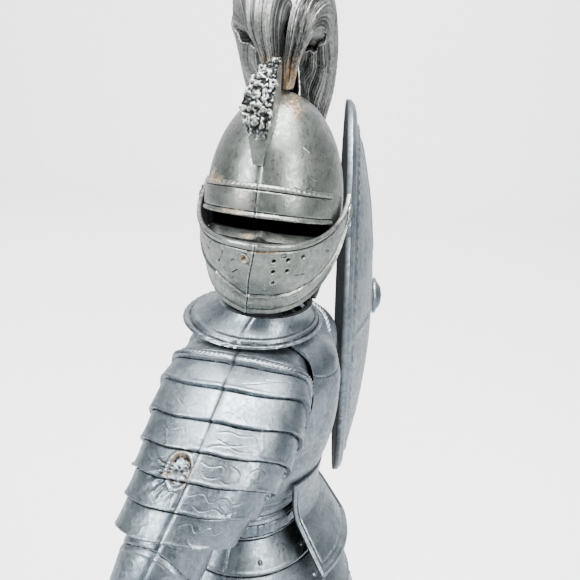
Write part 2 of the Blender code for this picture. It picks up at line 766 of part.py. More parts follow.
def make_shield(stud_end):
    frame = shield_frame()
    angles = np.linspace(0, 2 * math.pi, 28, endpoint=False)
    outer, inner = [], []
    for share in (0.06, 0.25, 0.5, 0.75, 0.92, 1.0):
        rise = dish_height(share)
        wide, tall = SHIELD_HALF_WIDTH * share, SHIELD_HALF_HEIGHT * share
        ring_points = [(wide * math.cos(a), tall * math.sin(a)) for a in angles]
        outer.append(np.array([frame @ Vector((x, y, rise)) for x, y in ring_points]))
        inner.append(np.array([frame @ Vector((x, y, rise - WALL)) for x, y in ring_points]))
    add_shell("shield_dish", outer, inner, "shield", "steel_paint", wrap=True)
    boss_seat = SHIELD_DOME + GAP
    profile = [
        (0, boss_seat + 0.0022),
        (0.0022, boss_seat + 0.0018),
        (0.0040, boss_seat + 0.0006),
        (0.0044, boss_seat),
        (0, boss_seat),
    ]
    add_turned("shield_boss", profile, frame, "shield", "steel_paint", 16)
    local = frame.inverted() @ stud_end
    disc = 0.0032
    share = math.hypot(local.x / SHIELD_HALF_WIDTH, local.y / SHIELD_HALF_HEIGHT) + disc / SHIELD_HALF_WIDTH
    seat = dish_height(share) - WALL - 3 * GAP
    stud = frame @ Matrix.Translation(Vector((local.x, local.y, 0)))
    profile = [
        (0, seat),
        (disc, seat - 0.0004),
        (disc, seat - 0.0014),
        (STUD_SHAFT, seat - 0.0014),
        (STUD_SHAFT, local.z),
        (0, local.z),
    ]
    add_turned("shield_stud", profile, stud, "shield", "bare_plastic", 16)
    bore = STUD_SHAFT + PLAY
    profile = [(0, seat - 0.0010), (bore, seat - 0.0010), (bore, local.z - PLAY), (0, local.z - PLAY)]
    return hide_cutter(add_turned("stud_bore", profile, stud, "left_arm", "bare_plastic", 16))


# ---- head ----

HELMET_FLOOR = 0.0014
SLIT_LOW = -0.0049  # lower lip of the sight slit, from the pivot's height
SLIT_HIGH = -0.0024
SKULL_NECK = 0.72  # width of the helmet at its lower edge, as a share of the width at the pivot


def head_points(forward, left, up):
    """World points of the turned head: forward is -X and the head's left is -Y."""
    forward, left, up = np.broadcast_arrays(forward, left, up)
    return np.stack([-forward, NECK_Y - left, up], axis=-1)


def skull_low(angles):
    """Lower edge of the skull shell: over the slit in front, down to the neck behind."""
    part = np.clip((np.abs(angles) - 1.28) / 0.45, 0, 1)
    share = part * part * (3 - 2 * part)
    front = PIVOT_Z + SLIT_HIGH + FACE_SLANT * SKULL_FRONT * np.clip(np.cos(angles), 0, 1)
    return front + (HELMET_Z - front) * share


def skull_scale(z):
    """Width of the skull at a height, as a share of its width at the pivot."""
    above = np.clip((z - PIVOT_Z) / SKULL_HEIGHT, 0, 1)
    below = np.clip((PIVOT_Z - z) / (PIVOT_Z - HELMET_Z), 0, 1)
    return np.sqrt(1 - above**2) * (1 - (1 - SKULL_NECK) * below**1.6)


def skull_grid(angles, shrink):
    """Rows from the crown to the lower edge: a quarter ellipse to the pivot's height, then the neck."""
    low = skull_low(angles)
    neck = PIVOT_Z - HELMET_Z
    over = np.arccos(np.clip((low - PIVOT_Z) / SKULL_HEIGHT, 0, 1)) / (math.pi / 2)
    reach = np.where(low > PIVOT_Z, over, 1 + (PIVOT_Z - low) / neck)
    rows = []
    for share in np.linspace(0, 1, 13):
        dome = np.clip(share * reach, 0, 1) * math.pi / 2
        below = np.clip(share * reach - 1, 0, 1)
        z = PIVOT_Z + (SKULL_HEIGHT - shrink) * np.cos(dome) - neck * below
        scale = np.sin(dome) * (1 - (1 - SKULL_NECK) * below**1.6)
        forward = (SKULL_FRONT - shrink) * scale * np.cos(angles)
        rows.append(head_points(forward, (SKULL_SIDE - shrink) * scale * np.sin(angles), z))
    return rows


def make_helmet():
    for side, name in ((1, "left"), (-1, "right")):
        angles = half_turn(side, 13)
        outer = shifted(skull_grid(angles, 0.0), y=-side * GAP / 2)
        inner = shifted(skull_grid(angles, WALL), y=-side * GAP / 2)
        add_shell(f"helmet_{name}", outer, inner, "head", "warm_steel_paint")


def make_helmet_floor():
    """Plate across the neck of the helmet, with the hole for the neck post."""
    z = HELMET_Z + 0.0008
    scale = SKULL_NECK
    angles = np.linspace(0, 2 * math.pi, 24, endpoint=False)
    outer, inner = [], []
    hole = NECK_SHAFT + PLAY
    for height in (0.0, HELMET_FLOOR):
        forward = (SKULL_FRONT * scale - WALL - 2 * GAP) * np.cos(angles)
        left = (SKULL_SIDE * scale - WALL - 2 * GAP) * np.sin(angles)
        outer.append(head_points(forward, left, z + height))
        inner.append(head_points(hole * np.cos(angles), hole * np.sin(angles), z + height))
    add_shell("helmet_floor", outer, inner, "head", "bare_plastic", wrap=True)


def make_brow_band():
    """Raised band across the forehead, over the slit, rising to the front."""
    angles = np.linspace(-1.18, 1.18, 21)
    rise = FACE_SLANT * SKULL_FRONT * np.cos(angles)
    low, high = PIVOT_Z + SLIT_HIGH, PIVOT_Z + 0.0032
    outer, inner = [], []
    for share, lift in ((0.0, 0.0006), (0.5, 0.0004), (1.0, 0.0006)):
        z = low + (high - low) * share + rise
        scale = skull_scale(z)
        out_front = SKULL_FRONT * scale + GAP + lift
        out_side = SKULL_SIDE * scale + GAP + lift * 0.2
        in_front = SKULL_FRONT * scale + GAP * 0.8
        in_side = SKULL_SIDE * scale + GAP * 0.6
        outer.append(head_points(out_front * np.cos(angles), out_side * np.sin(angles), z))
        inner.append(head_points(in_front * np.cos(angles), in_side * np.sin(angles), z))
    add_shell("brow_band", outer, inner, "head", "warm_steel_paint")


def make_face_guard():
    """Slanting ledge under the slit, fixed inside the visor."""
    angles = np.linspace(-1.22, 1.22, 19)
    outer, inner = [], []
    for share in (0.0, 1.0):
        front = SKULL_FRONT - 0.0010 + (VISOR_REACH - 0.0011 - SKULL_FRONT + 0.0010) * share
        side = SKULL_SIDE - 0.0012 + 0.0006 * share
        z = PIVOT_Z + SLIT_LOW - 0.0016 * share + FACE_SLANT * front * np.cos(angles)
        outer.append(head_points(front * np.cos(angles), side * np.sin(angles), z))
        inner.append(head_points((front - 0.0004) * np.cos(angles), (side - 0.0004) * np.sin(angles), z - 0.0010))
    add_shell("face_guard", outer, inner, "head", "bare_plastic")


VISOR_STATIONS = (0.0, 0.06, 0.14, 0.5, 0.8, 0.86, 1.0)
VISOR_SHRINK = (0.0, 0.0, 0.022, 0.10, 0.25, 0.262, 0.345)  # loss of reach towards the chin
VISOR_LIFT = (0.0006, 0.0006, 0.0, 0.0, 0.0004, 0.0, 0.0)


def visor_top(angle):
    """Upper edge of the visor: lowest in front, rising to the pivots."""
    share = (abs(angle) / VISOR_SPAN) ** 2.6
    return PIVOT_Z - 0.0068 + 0.0098 * share + FACE_SLANT * VISOR_REACH * max(0.0, math.cos(angle))


def visor_low(angle):
    share = (abs(angle) / VISOR_SPAN) ** 3
    return HELMET_Z + 0.0019 + 0.0135 * share


VISOR_SPAN = 1.66


def visor_grid(angles, grow):
    rows = []
    for station in (0.0, 0.06, 0.14, 0.32, 0.5, 0.66, 0.8, 0.86, 1.0):
        shrink = smooth_along(VISOR_STATIONS, VISOR_SHRINK, station)
        lift = np.interp(station, VISOR_STATIONS, VISOR_LIFT) if grow > 0 else 0.0
        forward, left, up = [], [], []
        for angle in angles:
            top, low = visor_top(angle), visor_low(angle)
            z = top + (low - top) * station
            ahead = (VISOR_REACH * (1 - shrink) + grow + lift) * math.cos(angle)
            side = SKULL_SIDE * float(skull_scale(min(z, PIVOT_Z))) + VISOR_SIDE_GAP + grow * 0.6 + lift * 0.2
            forward.append(ahead)
            left.append(side * math.sin(angle))
            up.append(z)
        rows.append(head_points(np.array(forward), np.array(left), np.array(up)))
    return rows


def make_visor():
    angles = np.linspace(-VISOR_SPAN, VISOR_SPAN, 27)
    outer = visor_grid(angles, WALL * 0.7)
    inner = visor_grid(angles, 0.0)
    add_shell("visor_plate", outer, inner, "visor", "warm_steel_paint")
    for side, name in ((1, "left"), (-1, "right")):
        seat = SKULL_SIDE + VISOR_SIDE_GAP + WALL * 0.7 * 0.6 + 0.0006 * 0.2 + GAP
        frame = frame_along((0, NECK_Y - side * seat, PIVOT_Z), (0, -side, 0))
        profile = [(0, 0.0005), (PIN_HEAD * 0.6, 0.0004), (PIN_HEAD, 0.0002), (PIN_HEAD, 0), (0, 0)]
        add_turned(f"visor_pin_{name}", profile, frame, "visor", "warm_steel_paint", 12)


def make_crest():
    """Folded fin up the middle of the forehead, widest half way up."""
    rows = []
    stations = (0.0, 0.18, 0.4, 0.62, 0.82, 1.0)
    widths = (0.0011, 0.0019, 0.0031, 0.0028, 0.0018, 0.0007)
    heights = (0.0008, 0.0030, 0.0056, 0.0072, 0.0074, 0.0058)
    for station, width, height in zip(stations, widths, heights):
        angle = math.radians(30 + 52 * station)
        base = Vector((SKULL_FRONT * math.cos(angle), SKULL_HEIGHT * math.sin(angle)))
        normal = Vector((math.cos(angle) / SKULL_FRONT, math.sin(angle) / SKULL_HEIGHT)).normalized()
        foot = base + normal * (GAP * 1.6)
        tip = base + normal * (GAP * 1.6 + height)
        section = [(foot, 0.8), (foot, -0.8), (tip, -1.0), (tip + normal * 0.0006, 0.0), (tip, 1.0)]
        points = [head_points(p.x, width * s, PIVOT_Z + p.y) for p, s in section]
        rows.append(np.array(points))
    add_solid("crest_fin", rows, "head", "warm_steel_paint")


# Path of the plume in the head's middle plane: forward, up from the pivot, half height, half width
PLUME = (
    (0.0000, 0.0214, 0.0021, 0.0014),
    (0.0000, 0.0268, 0.0030, 0.0022),
    (-0.0008, 0.0316, 0.0048, 0.0040),
    (-0.0040, 0.0334, 0.0060, 0.0054),
    (-0.0100, 0.0294, 0.0074, 0.0057),
    (-0.0150, 0.0212, 0.0066, 0.0054),
    (-0.0174, 0.0124, 0.0042, 0.0042),
    (-0.0176, 0.0050, 0.0016, 0.0020),
)


def make_plume():
    path = np.array(PLUME)
    angles = np.linspace(0, 2 * math.pi, 12, endpoint=False)
    ways = np.gradient(path[:, :2], axis=0)
    ways /= np.linalg.norm(ways, axis=1)[:, None]
    for side, name in ((1, "left"), (-1, "right")):
        rows = []
        for (forward, up, tall, wide), (way_f, way_u) in zip(path, ways):
            out = tall * np.sin(angles)
            across = side * (wide + GAP + wide * np.cos(angles))
            rows.append(head_points(forward - way_u * out, across, PIVOT_Z + up + way_f * out))
        add_solid(f"plume_{name}", rows, "head", "plume_paint")


# ---- assembly ----

RIGHT_REACH = (-0.04, -0.82, -0.57)
LEFT_REACH = (0.83, -0.31, 0.46)


def make_axes():
    """One empty on each joint's axis; the moving pieces hang from it."""
    places = {
        "stand": (0, 0, 0),
        "torso": (0, 0, WAIST_Z),
        "head": (0, NECK_Y, HELMET_Z),
        "visor": (0, NECK_Y, PIVOT_Z),
        "right_arm": shoulder_end(-1)[0],
        "left_arm": shoulder_end(1)[0],
        "shield": stud_place(),
    }
    found = {}
    for name, place in places.items():
        empty = bpy.data.objects.new(f"{name}_axis", None)
        empty.location = place
        empty.empty_display_size = 0.005
        figure.objects.link(empty)
        found[name] = empty
    return found


def fist_middle(side, elbow_to_wrist):
    end, along = shoulder_end(side)
    elbow = end + along * (UPPER_ARM + 0.0042)
    return elbow + Vector(elbow_to_wrist).normalized() * (FOREARM + GAP + 0.0078)


def stud_place():
    """Point on the left forearm's middle line where the shield's stud ends."""
    end, along = shoulder_end(1)
    return end + along * (UPPER_ARM + 0.0042) + Vector(LEFT_REACH).normalized() * STUD_ALONG


clear_scene()
figure = new_collection("knight_figure")
cutters = new_collection("cutters")
axes = make_axes()
armhole_cutters = [make_armhole_cutter(-1, "right"), make_armhole_cutter(1, "left")]

make_plinth()
for leg_side, leg_name in ((-1, "right"), (1, "left")):
    make_leg(leg_side, leg_name)
    make_knee_cop(leg_side, leg_name)
    make_foot(leg_side, leg_name)
    make_tasset(leg_side, leg_name)
    make_pauldron(leg_side, leg_name)
    make_arm_socket(leg_side, leg_name)
make_hip_block()
make_belt()
make_skirt()
make_waist_pivot()
make_torso()
make_waist_flange()
make_gorget()
make_neck_post()

_, right_wrist = make_arm(-1, "right", "right_arm", RIGHT_REACH)
sword_up = Vector((-0.02, 0.10, 1.0)).normalized()
right_reach = Vector(RIGHT_REACH).normalized()
right_hand = add_solid("right_gauntlet", fist_rows(right_wrist, right_reach, sword_up), "right_arm", "steel_paint")
cut(right_hand, make_sword(fist_middle(-1, RIGHT_REACH), sword_up))

left_forearm, left_wrist = make_arm(1, "left", "left_arm", LEFT_REACH)
left_reach = Vector(LEFT_REACH).normalized()
add_solid(
    "left_gauntlet", fist_rows(left_wrist, left_reach, Vector((0, 0, 1))), "left_arm", "steel_paint"
)
cut(left_forearm, make_shield(stud_place()))

make_helmet()
make_helmet_floor()
make_brow_band()
make_face_guard()
make_visor()
make_crest()
make_plume()
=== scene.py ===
import json
import math

import bmesh
import bpy
import numpy as np
from mathutils import Matrix, Vector


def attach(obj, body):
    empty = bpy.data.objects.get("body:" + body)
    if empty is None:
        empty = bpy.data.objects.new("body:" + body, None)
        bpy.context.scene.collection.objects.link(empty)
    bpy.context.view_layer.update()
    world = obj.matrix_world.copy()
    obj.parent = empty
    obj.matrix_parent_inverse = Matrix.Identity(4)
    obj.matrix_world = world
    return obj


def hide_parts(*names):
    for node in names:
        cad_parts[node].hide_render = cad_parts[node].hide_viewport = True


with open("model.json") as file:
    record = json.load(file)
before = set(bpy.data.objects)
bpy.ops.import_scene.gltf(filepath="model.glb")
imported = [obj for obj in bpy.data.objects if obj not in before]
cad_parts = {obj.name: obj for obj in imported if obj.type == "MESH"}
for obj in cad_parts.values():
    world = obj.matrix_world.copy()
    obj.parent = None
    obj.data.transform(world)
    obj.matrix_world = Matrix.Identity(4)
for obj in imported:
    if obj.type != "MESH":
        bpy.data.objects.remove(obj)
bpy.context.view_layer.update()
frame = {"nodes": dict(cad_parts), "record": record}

# A kit-built knight figure: brushed silver paint over hard plastic, engraved plates, worn edges and old glue.
# Lengths are in metres, +Z is up, the figure looks along -Y and its helmet is turned to -X.
print("frame loaded:", len(frame["nodes"]), "solids")

kit = {
    "gap": 0.0003,  # between neighbouring pieces
    "seam": 0.00005,  # between the two moulded halves of a limb or plate
    "wall": 0.0012,
    "soleZ": 0.0073,
    "waistZ": 0.1383,
    "beltZ": 0.1328,
    "thighZ": 0.1163,
    "collarZ": 0.1756,
    "helmetZ": 0.1807,
    "pivotZ": 0.1995,
    "neckY": -0.0015,
}


def curveThrough(stations, values, at):
    # cubic through the values at their stations, with each slope taken from the two neighbours
    s = np.asarray(stations, float)
    v = np.asarray(values, float)
    at = np.clip(np.asarray(at, float), s[0], s[-1])
    slope = np.gradient(v, s, axis=0)
    i = np.clip(np.searchsorted(s, at) - 1, 0, len(s) - 2)
    step = s[i + 1] - s[i]
    t = (at - s[i]) / step
    if v.ndim > 1:
        t, step = t[..., None], step[..., None]
    before = (2 * t**3 - 3 * t**2 + 1) * v[i] + (t**3 - 2 * t**2 + t) * step * slope[i]
    after = (3 * t**2 - 2 * t**3) * v[i + 1] + (t**3 - t**2) * step * slope[i + 1]
    return before + after


def ease(x):
    # 0 below 0, 1 above 1, and a smooth step between
    x = np.clip(x, 0, 1)
    return x * x * (3 - 2 * x)


def bell(x, width):
    # 1 at the middle, falling away over the width
    return np.exp(-((x / width) ** 2))


def lattice(points, size, seed):
    # one random number from -1 to 1 at each corner of a cubic lattice, blended smoothly between the corners
    p = points / size + 311.7 + 17.3 * seed
    cell = np.floor(p).astype(np.int64)
    f = p - cell
    f = f * f * (3 - 2 * f)
    total = 0.0
    for corner in range(8):
        d = np.array([corner & 1, corner >> 1 & 1, corner >> 2 & 1])
        c = cell + d
        key = c[..., 0] * 73856093 ^ c[..., 1] * 19349663 ^ c[..., 2] * 83492791 ^ (seed + 1) * 2654435
        key = (key ^ (key >> 13)) * 1274126177 & 0x7FFFFFFF
        key = (key ^ (key >> 16)) * 668265263 & 0x7FFFFFFF
        share = np.prod(np.where(d, f, 1 - f), axis=-1)
        total = total + share * ((key >> 7 & 0xFFFF) / 32767.5 - 1)
    return total


def cloud(points, size, seed, octaves=3):
    # sum of lattices, each half the size and a little over half the strength of the one before
    total, strength, reach = 0.0, 1.0, 0.0
    for octave in range(octaves):
        total = total + strength * lattice(points, size / 2**octave, seed + octave)
        reach += strength
        strength *= 0.55
    return total / reach


def creases(points, size, seed):
    # thin wandering lines: 1 where a cloud passes through zero
    return bell(cloud(points, size, seed, 3), 0.055)


def outwardNormals(grid, fromPoints):
    # cross product of the grid's two directions, turned to point away from the given points
    down = np.gradient(grid, axis=0)
    along = np.gradient(grid, axis=1)
    normals = np.cross(down, along)
    away = grid - fromPoints
    length = np.linalg.norm(normals, axis=-1, keepdims=True)
    spread = away / (np.linalg.norm(away, axis=-1, keepdims=True) + 1e-12)
    normals = np.where(length > 1e-13, normals / (length + 1e-20), spread)
    return normals * np.where((normals * away).sum(-1, keepdims=True) < 0, -1, 1)


def lineDistance(points, line, reach=0.0012):
    # distance to the nearest of a line's close-set points; whatever is out of reach gets a large one
    line = np.asarray(line, float)
    near = np.all((points > line.min(0) - reach) & (points < line.max(0) + reach), axis=-1)
    found = np.full(points.shape[:-1], 0.05)
    chosen = points[near]
    if len(chosen):
        best = np.full(len(chosen), 0.0025)
        for part in np.array_split(line, max(1, len(line) // 60)):
            away = ((chosen[:, None] - part[None]) ** 2).sum(-1)
            best = np.minimum(best, away.min(1))
        found[near] = np.sqrt(best)
    return found


def engraved(points, line, width, depth):
    # groove along a line, with a small lip pushed up on both sides
    d = lineDistance(points, line, 4 * width)
    return depth * (0.16 * bell(d - 1.8 * width, width * 0.8) - bell(d, width))


def smoothLine(places, count=140):
    # smooth curve through a few (first, second) places, as evenly numbered points
    places = np.asarray(places, float)
    stations = np.linspace(0, 1, len(places))
    return curveThrough(stations, places, np.linspace(0, 1, count))


def gridFaces(rows, columns, wrap, first=0):
    index = first + np.arange(rows * columns).reshape(rows, columns)
    right = np.roll(index, -1, axis=1) if wrap else index[:, 1:]
    left = index if wrap else index[:, :-1]
    quads = np.stack([left[:-1], left[1:], right[1:], right[:-1]], axis=-1)
    return index, quads.reshape(-1, 4)


def volumeOf(points, faces):
    # signed volume under the faces: negative means that they point inwards
    total = 0.0
    for quads in faces:
        a = points[quads[:, 0]]
        for i in range(1, quads.shape[1] - 1):
            b, c = points[quads[:, i]], points[quads[:, i + 1]]
            total += (a * np.cross(b, c)).sum() / 6
    return total


def meshOf(name, points, faces, masks):
    # faces is a list of arrays, each with one face size
    if volumeOf(points - points.mean(0), faces) < 0:
        faces = [f[:, ::-1] for f in faces]
    sizes = np.concatenate([np.full(len(f), f.shape[1]) for f in faces])
    corners = np.concatenate([f.ravel() for f in faces])
    mesh = bpy.data.meshes.new(name)
    mesh.vertices.add(len(points))
    mesh.vertices.foreach_set("co", points.astype(np.float32).ravel())
    mesh.loops.add(len(corners))
    mesh.loops.foreach_set("vertex_index", corners.astype(np.int32))
    mesh.polygons.add(len(sizes))
    mesh.polygons.foreach_set("loop_start", (np.cumsum(sizes) - sizes).astype(np.int32))
    mesh.update(calc_edges=True)
    for key, values in masks.items():
        layer = mesh.attributes.new(key, "FLOAT", "POINT")
        layer.data.foreach_set("value", values.astype(np.float32).ravel())
    return mesh


def mergePoles(mesh):
    bm = bmesh.new()
    bm.from_mesh(mesh)
    bmesh.ops.remove_doubles(bm, verts=bm.verts, dist=1e-7)
    bmesh.ops.dissolve_degenerate(bm, edges=bm.edges, dist=1e-8)
    bm.to_mesh(mesh)
    bm.free()


def wearMasks(mesh, reach):
    # how sharply the surface bends at each point: "edge" where it stands out, "groove" where it falls in
    count = len(mesh.vertices)
    co = np.zeros(count * 3, np.float32)
    mesh.vertices.foreach_get("co", co)
    co = co.reshape(-1, 3).astype(float)
    normal = np.zeros(count * 3, np.float32)
    mesh.vertex_normals.foreach_get("vector", normal)
    normal = normal.reshape(-1, 3)
    ends = np.zeros(len(mesh.edges) * 2, np.int32)
    mesh.edges.foreach_get("vertices", ends)
    a, b = ends.reshape(-1, 2).T
    step = co[b] - co[a]
    length = np.maximum((step**2).sum(1), 1e-12)
    bend = ((normal[b] - normal[a]) * step).sum(1) / length
    near = np.bincount(a, minlength=count) + np.bincount(b, minlength=count)
    near = np.maximum(near, 1)
    value = (np.bincount(a, bend, count) + np.bincount(b, bend, count)) / near
    value = np.clip(value * reach, -1, 1)
    for _ in range(3):
        value = 0.5 * value + 0.5 * (np.bincount(a, value[b], count) + np.bincount(b, value[a], count)) / near
    for key, mask in (("edge", value), ("groove", -value)):
        layer = mesh.attributes.get(key) or mesh.attributes.new(key, "FLOAT", "POINT")
        layer.data.foreach_set("value", np.clip(mask, 0, 1).astype(np.float32))


def finishPiece(name, mesh, body, nodes, finish, reach=0.0003, sharp=50):
    # shades the piece, works out its wear, and lets it stand for its solids
    mesh.shade_smooth()
    mesh.set_sharp_from_angle(angle=math.radians(sharp))
    wearMasks(mesh, reach)
    piece = bpy.data.objects.new(name, mesh)
    bpy.context.scene.collection.objects.link(piece)
    mesh.materials.append(finishes[finish]["material"])
    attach(piece, body)
    if nodes:
        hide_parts(*nodes)
    return piece


def shellMesh(name, outer, inner, wrap=False, masks=None):
    # closed wall: a fine outer grid, a coarser inner one, and rims that step from the fine edge to the coarse
    rows, columns = outer.shape[:2]
    coarseRows, coarseColumns = inner.shape[:2]
    outIndex, outFaces = gridFaces(rows, columns, wrap)
    inIndex, inFaces = gridFaces(coarseRows, coarseColumns, wrap, rows * columns)
    faces = [np.concatenate([outFaces, inFaces[:, ::-1]])]
    triangles = []
    rims = [(outIndex[0], inIndex[0], -1), (outIndex[-1], inIndex[-1], 1)]
    if not wrap:
        rims.append((outIndex[:, 0], inIndex[:, 0], 1))
        rims.append((outIndex[:, -1], inIndex[:, -1], -1))
    for number, (fine, coarse, way) in enumerate(rims):
        if wrap:
            fine = np.append(fine, fine[0])
            coarse = np.append(coarse, coarse[0])
        last = len(fine) - 1
        spans = np.arange(last)
        # the coarse point that serves each fine span, and where it changes
        served = np.minimum((spans + 0.5) * (len(coarse) - 1) / last + 0.5, len(coarse) - 1).astype(int)
        fan = np.stack([fine[spans], fine[spans + 1], coarse[served]], axis=-1)
        change = np.flatnonzero(np.diff(np.concatenate([[0], served, [len(coarse) - 1]])))
        before = np.concatenate([[0], served])[change]
        step = np.stack([fine[change], coarse[before + 1], coarse[before]], axis=-1)
        both = np.concatenate([fan, step])
        triangles.append(both if way < 0 else both[:, ::-1])
    faces.append(np.concatenate(triangles))
    points = np.concatenate([outer.reshape(-1, 3), inner.reshape(-1, 3)])
    # the inner faces are marked inside, and the material paints them black as shade
    values = {"inside": np.concatenate([np.zeros(rows * columns), np.ones(coarseRows * coarseColumns)])}
    for key, mask in (masks or {}).items():
        spread = np.broadcast_to(mask, outer.shape[:2]).ravel()
        values[key] = np.concatenate([spread, np.zeros(coarseRows * coarseColumns)])
    return meshOf(name, points, faces, values)


def solidMesh(name, grid, masks=None):
    # closed body of rings, its two ends drawn together to a point
    first, last = grid[:1].mean(1, keepdims=True), grid[-1:].mean(1, keepdims=True)
    columns = grid.shape[1]
    whole = np.concatenate([np.repeat(first, columns, 1), grid, np.repeat(last, columns, 1)])
    _, faces = gridFaces(len(whole), columns, True)
    values = {}
    for key, mask in (masks or {}).items():
        spread = np.broadcast_to(mask, grid.shape[:2])
        values[key] = np.concatenate([spread[:1], spread, spread[-1:]])
    mesh = meshOf(name, whole.reshape(-1, 3), [faces], values)
    mergePoles(mesh)
    return mesh


def frameAlong(point, direction):
    turn = Vector(direction).to_track_quat("Z", "Y").to_matrix().to_4x4()
    return Matrix.Translation(Vector(point)) @ turn


def placed(points, matrix):
    m = np.array(matrix)
    return points @ m[:3, :3].T + m[:3, 3]


def finerProfile(profile, spacing, round=0.00012):
    # the profile's straight runs cut into short steps, each corner rounded over a small length
    corners = np.asarray(profile, float)
    points = [corners[0]]
    for before, here, after in zip(corners, corners[1:], corners[2:]):
        inLength, outLength = np.linalg.norm(here - before), np.linalg.norm(after - here)
        cut = min(round, inLength / 3, outLength / 3)
        start = here + (before - here) / inLength * cut
        end = here + (after - here) / outLength * cut
        for t in (0, 0.25, 0.5, 0.75, 1.0):
            points.append((1 - t) ** 2 * start + 2 * t * (1 - t) * here + t * t * end)
    points.append(corners[-1])
    points = np.array(points)
    found = []
    for a, b in zip(points, points[1:]):
        count = max(1, int(np.linalg.norm(b - a) / spacing))
        found.append(a + (b - a) * np.arange(count)[:, None] / count)
    return np.concatenate([*found, points[-1:]])


def turnedMesh(name, profile, place, columns=72, relief=None, spacing=0.0004):
    # profile of (radius, height) pairs carried round the place's Z; relief(angle, radius, height) moves it outwards
    path = finerProfile(profile, spacing)
    angles = np.linspace(0, 2 * math.pi, columns, endpoint=False)
    radius, height = path[:, :1], path[:, 1:]
    grid = np.stack(
        [radius * np.cos(angles), radius * np.sin(angles), np.broadcast_to(height, (len(path), columns))], -1
    )
    if relief is not None:
        way = np.gradient(path, axis=0)
        way /= np.linalg.norm(way, axis=1, keepdims=True)
        side = np.stack([-way[:, 1], way[:, 0]], axis=-1)
        swept = (np.roll(path, -1, 0)[:-1, 0] - path[:-1, 0]) * (path[:-1, 1] + path[1:, 1])
        side *= np.sign(swept.sum()) if swept.sum() else 1
        move = relief(angles[None, :], radius, height)
        grid[..., 0] += side[:, :1] * np.cos(angles) * move
        grid[..., 1] += side[:, :1] * np.sin(angles) * move
        grid[..., 2] += side[:, 1:] * move
    mesh = meshOf(name, placed(grid.reshape(-1, 3), place), [gridFaces(len(path), columns, True)[1]], {})
    mergePoles(mesh)
    return mesh


def ringPoints(centre, side, front, back, angles):
    # oval round the centre: side along X, front along -Y and back along +Y; angle 0 is straight ahead
    depth = np.where(np.cos(angles) > 0, front, back)
    x = centre[0] + side * np.sin(angles)
    y = centre[1] - depth * np.cos(angles)
    return np.stack(np.broadcast_arrays(x, y, centre[2]), axis=-1)


halves = {"front": (-90.0, 90.0, -1), "back": (90.0, 270.0, 1)}


def halfAngles(half, columns):
    # angles of one moulded half, in radians, as a row
    start, end, _ = halves[half]
    return np.radians(np.linspace(start, end, columns))[None, :]


def halfShift(half):
    return np.array([0.0, halves[half][2] * kit["seam"] / 2, 0.0])


def seamGroove(angles, half, spread=0.05):
    # rounds off both long edges of a half, so that the joint shows as a fine V
    start, end, _ = halves[half]
    nearest = np.minimum(np.abs(angles - math.radians(start)), np.abs(angles - math.radians(end)))
    return -0.00013 * bell(nearest, spread)


def paintLumps(grid, seed, strength=1.0):
    # slow waves of thick paint, finer brush ripple, and the odd crater or hair under the paint
    slow = 0.000045 * cloud(grid, 0.0062, seed, 3)
    fine = 0.000012 * cloud(grid, 0.0009, seed + 9, 2)
    hairs = 0.000020 * creases(grid, 0.0075, seed + 20) * ease(cloud(grid, 0.011, seed + 31, 1) * 2.5)
    return strength * (slow + fine + hairs)


class Nodes:
    # short way to write a node tree: each call makes a node and links or sets its inputs by name
    def __init__(self, tree):
        self.tree = tree

    def add(self, kind, settings=None, **inputs):
        node = self.tree.nodes.new(kind)
        for key, value in (settings or {}).items():
            setattr(node, key, value)
        for key, value in inputs.items():
            socket = node.inputs[int(key[1:]) if key[0] == "_" else key.replace("_", " ")]
            if isinstance(value, bpy.types.NodeSocket):
                self.tree.links.new(value, socket)
            else:
                socket.default_value = value
        return node

    def noise(self, vector, scale, detail=3.0, rough=0.55, warp=0.0):
        node = self.add("ShaderNodeTexNoise", Vector=vector, Scale=scale, Detail=detail, Roughness=rough)
        node.inputs["Distortion"].default_value = warp
        return node.outputs["Fac"]

    def stretch(self, value, low, high, outLow=0.0, outHigh=1.0):
        settings = {"interpolation_type": "SMOOTHSTEP"}
        node = self.add(
            "ShaderNodeMapRange", settings, Value=value, From_Min=low, From_Max=high, To_Min=outLow, To_Max=outHigh
        )
        return node.outputs["Result"]

    def math(self, operation, a, b=0.0, clamp=False):
        return self.add("ShaderNodeMath", {"operation": operation, "use_clamp": clamp}, _0=a, _1=b).outputs[0]

    def mixColour(self, share, a, b, blend="MIX"):
        node = self.add("ShaderNodeMix", {"data_type": "RGBA", "blend_type": blend}, _0=share, _6=a, _7=b)
        return node.outputs[2]

    def mixValue(self, share, a, b):
        return self.add("ShaderNodeMix", {"data_type": "FLOAT"}, _0=share, _2=a, _3=b).outputs[0]


def newGroup(name, inputs, outputs):
    # inputs and outputs are name: default pairs; a tuple makes a colour and a number a value
    group = bpy.data.node_groups.new(name, "ShaderNodeTree")
    for way, sockets in (("INPUT", inputs), ("OUTPUT", outputs)):
        for key, default in sockets.items():
            kind = "NodeSocketColor" if isinstance(default, tuple) else "NodeSocketFloat"
            socket = group.interface.new_socket(key, in_out=way, socket_type=kind)
            socket.default_value = default
    n = Nodes(group)
    return group, n, group.nodes.new("NodeGroupInput").outputs, group.nodes.new("NodeGroupOutput").inputs


grey = (0.5, 0.5, 0.5, 1.0)


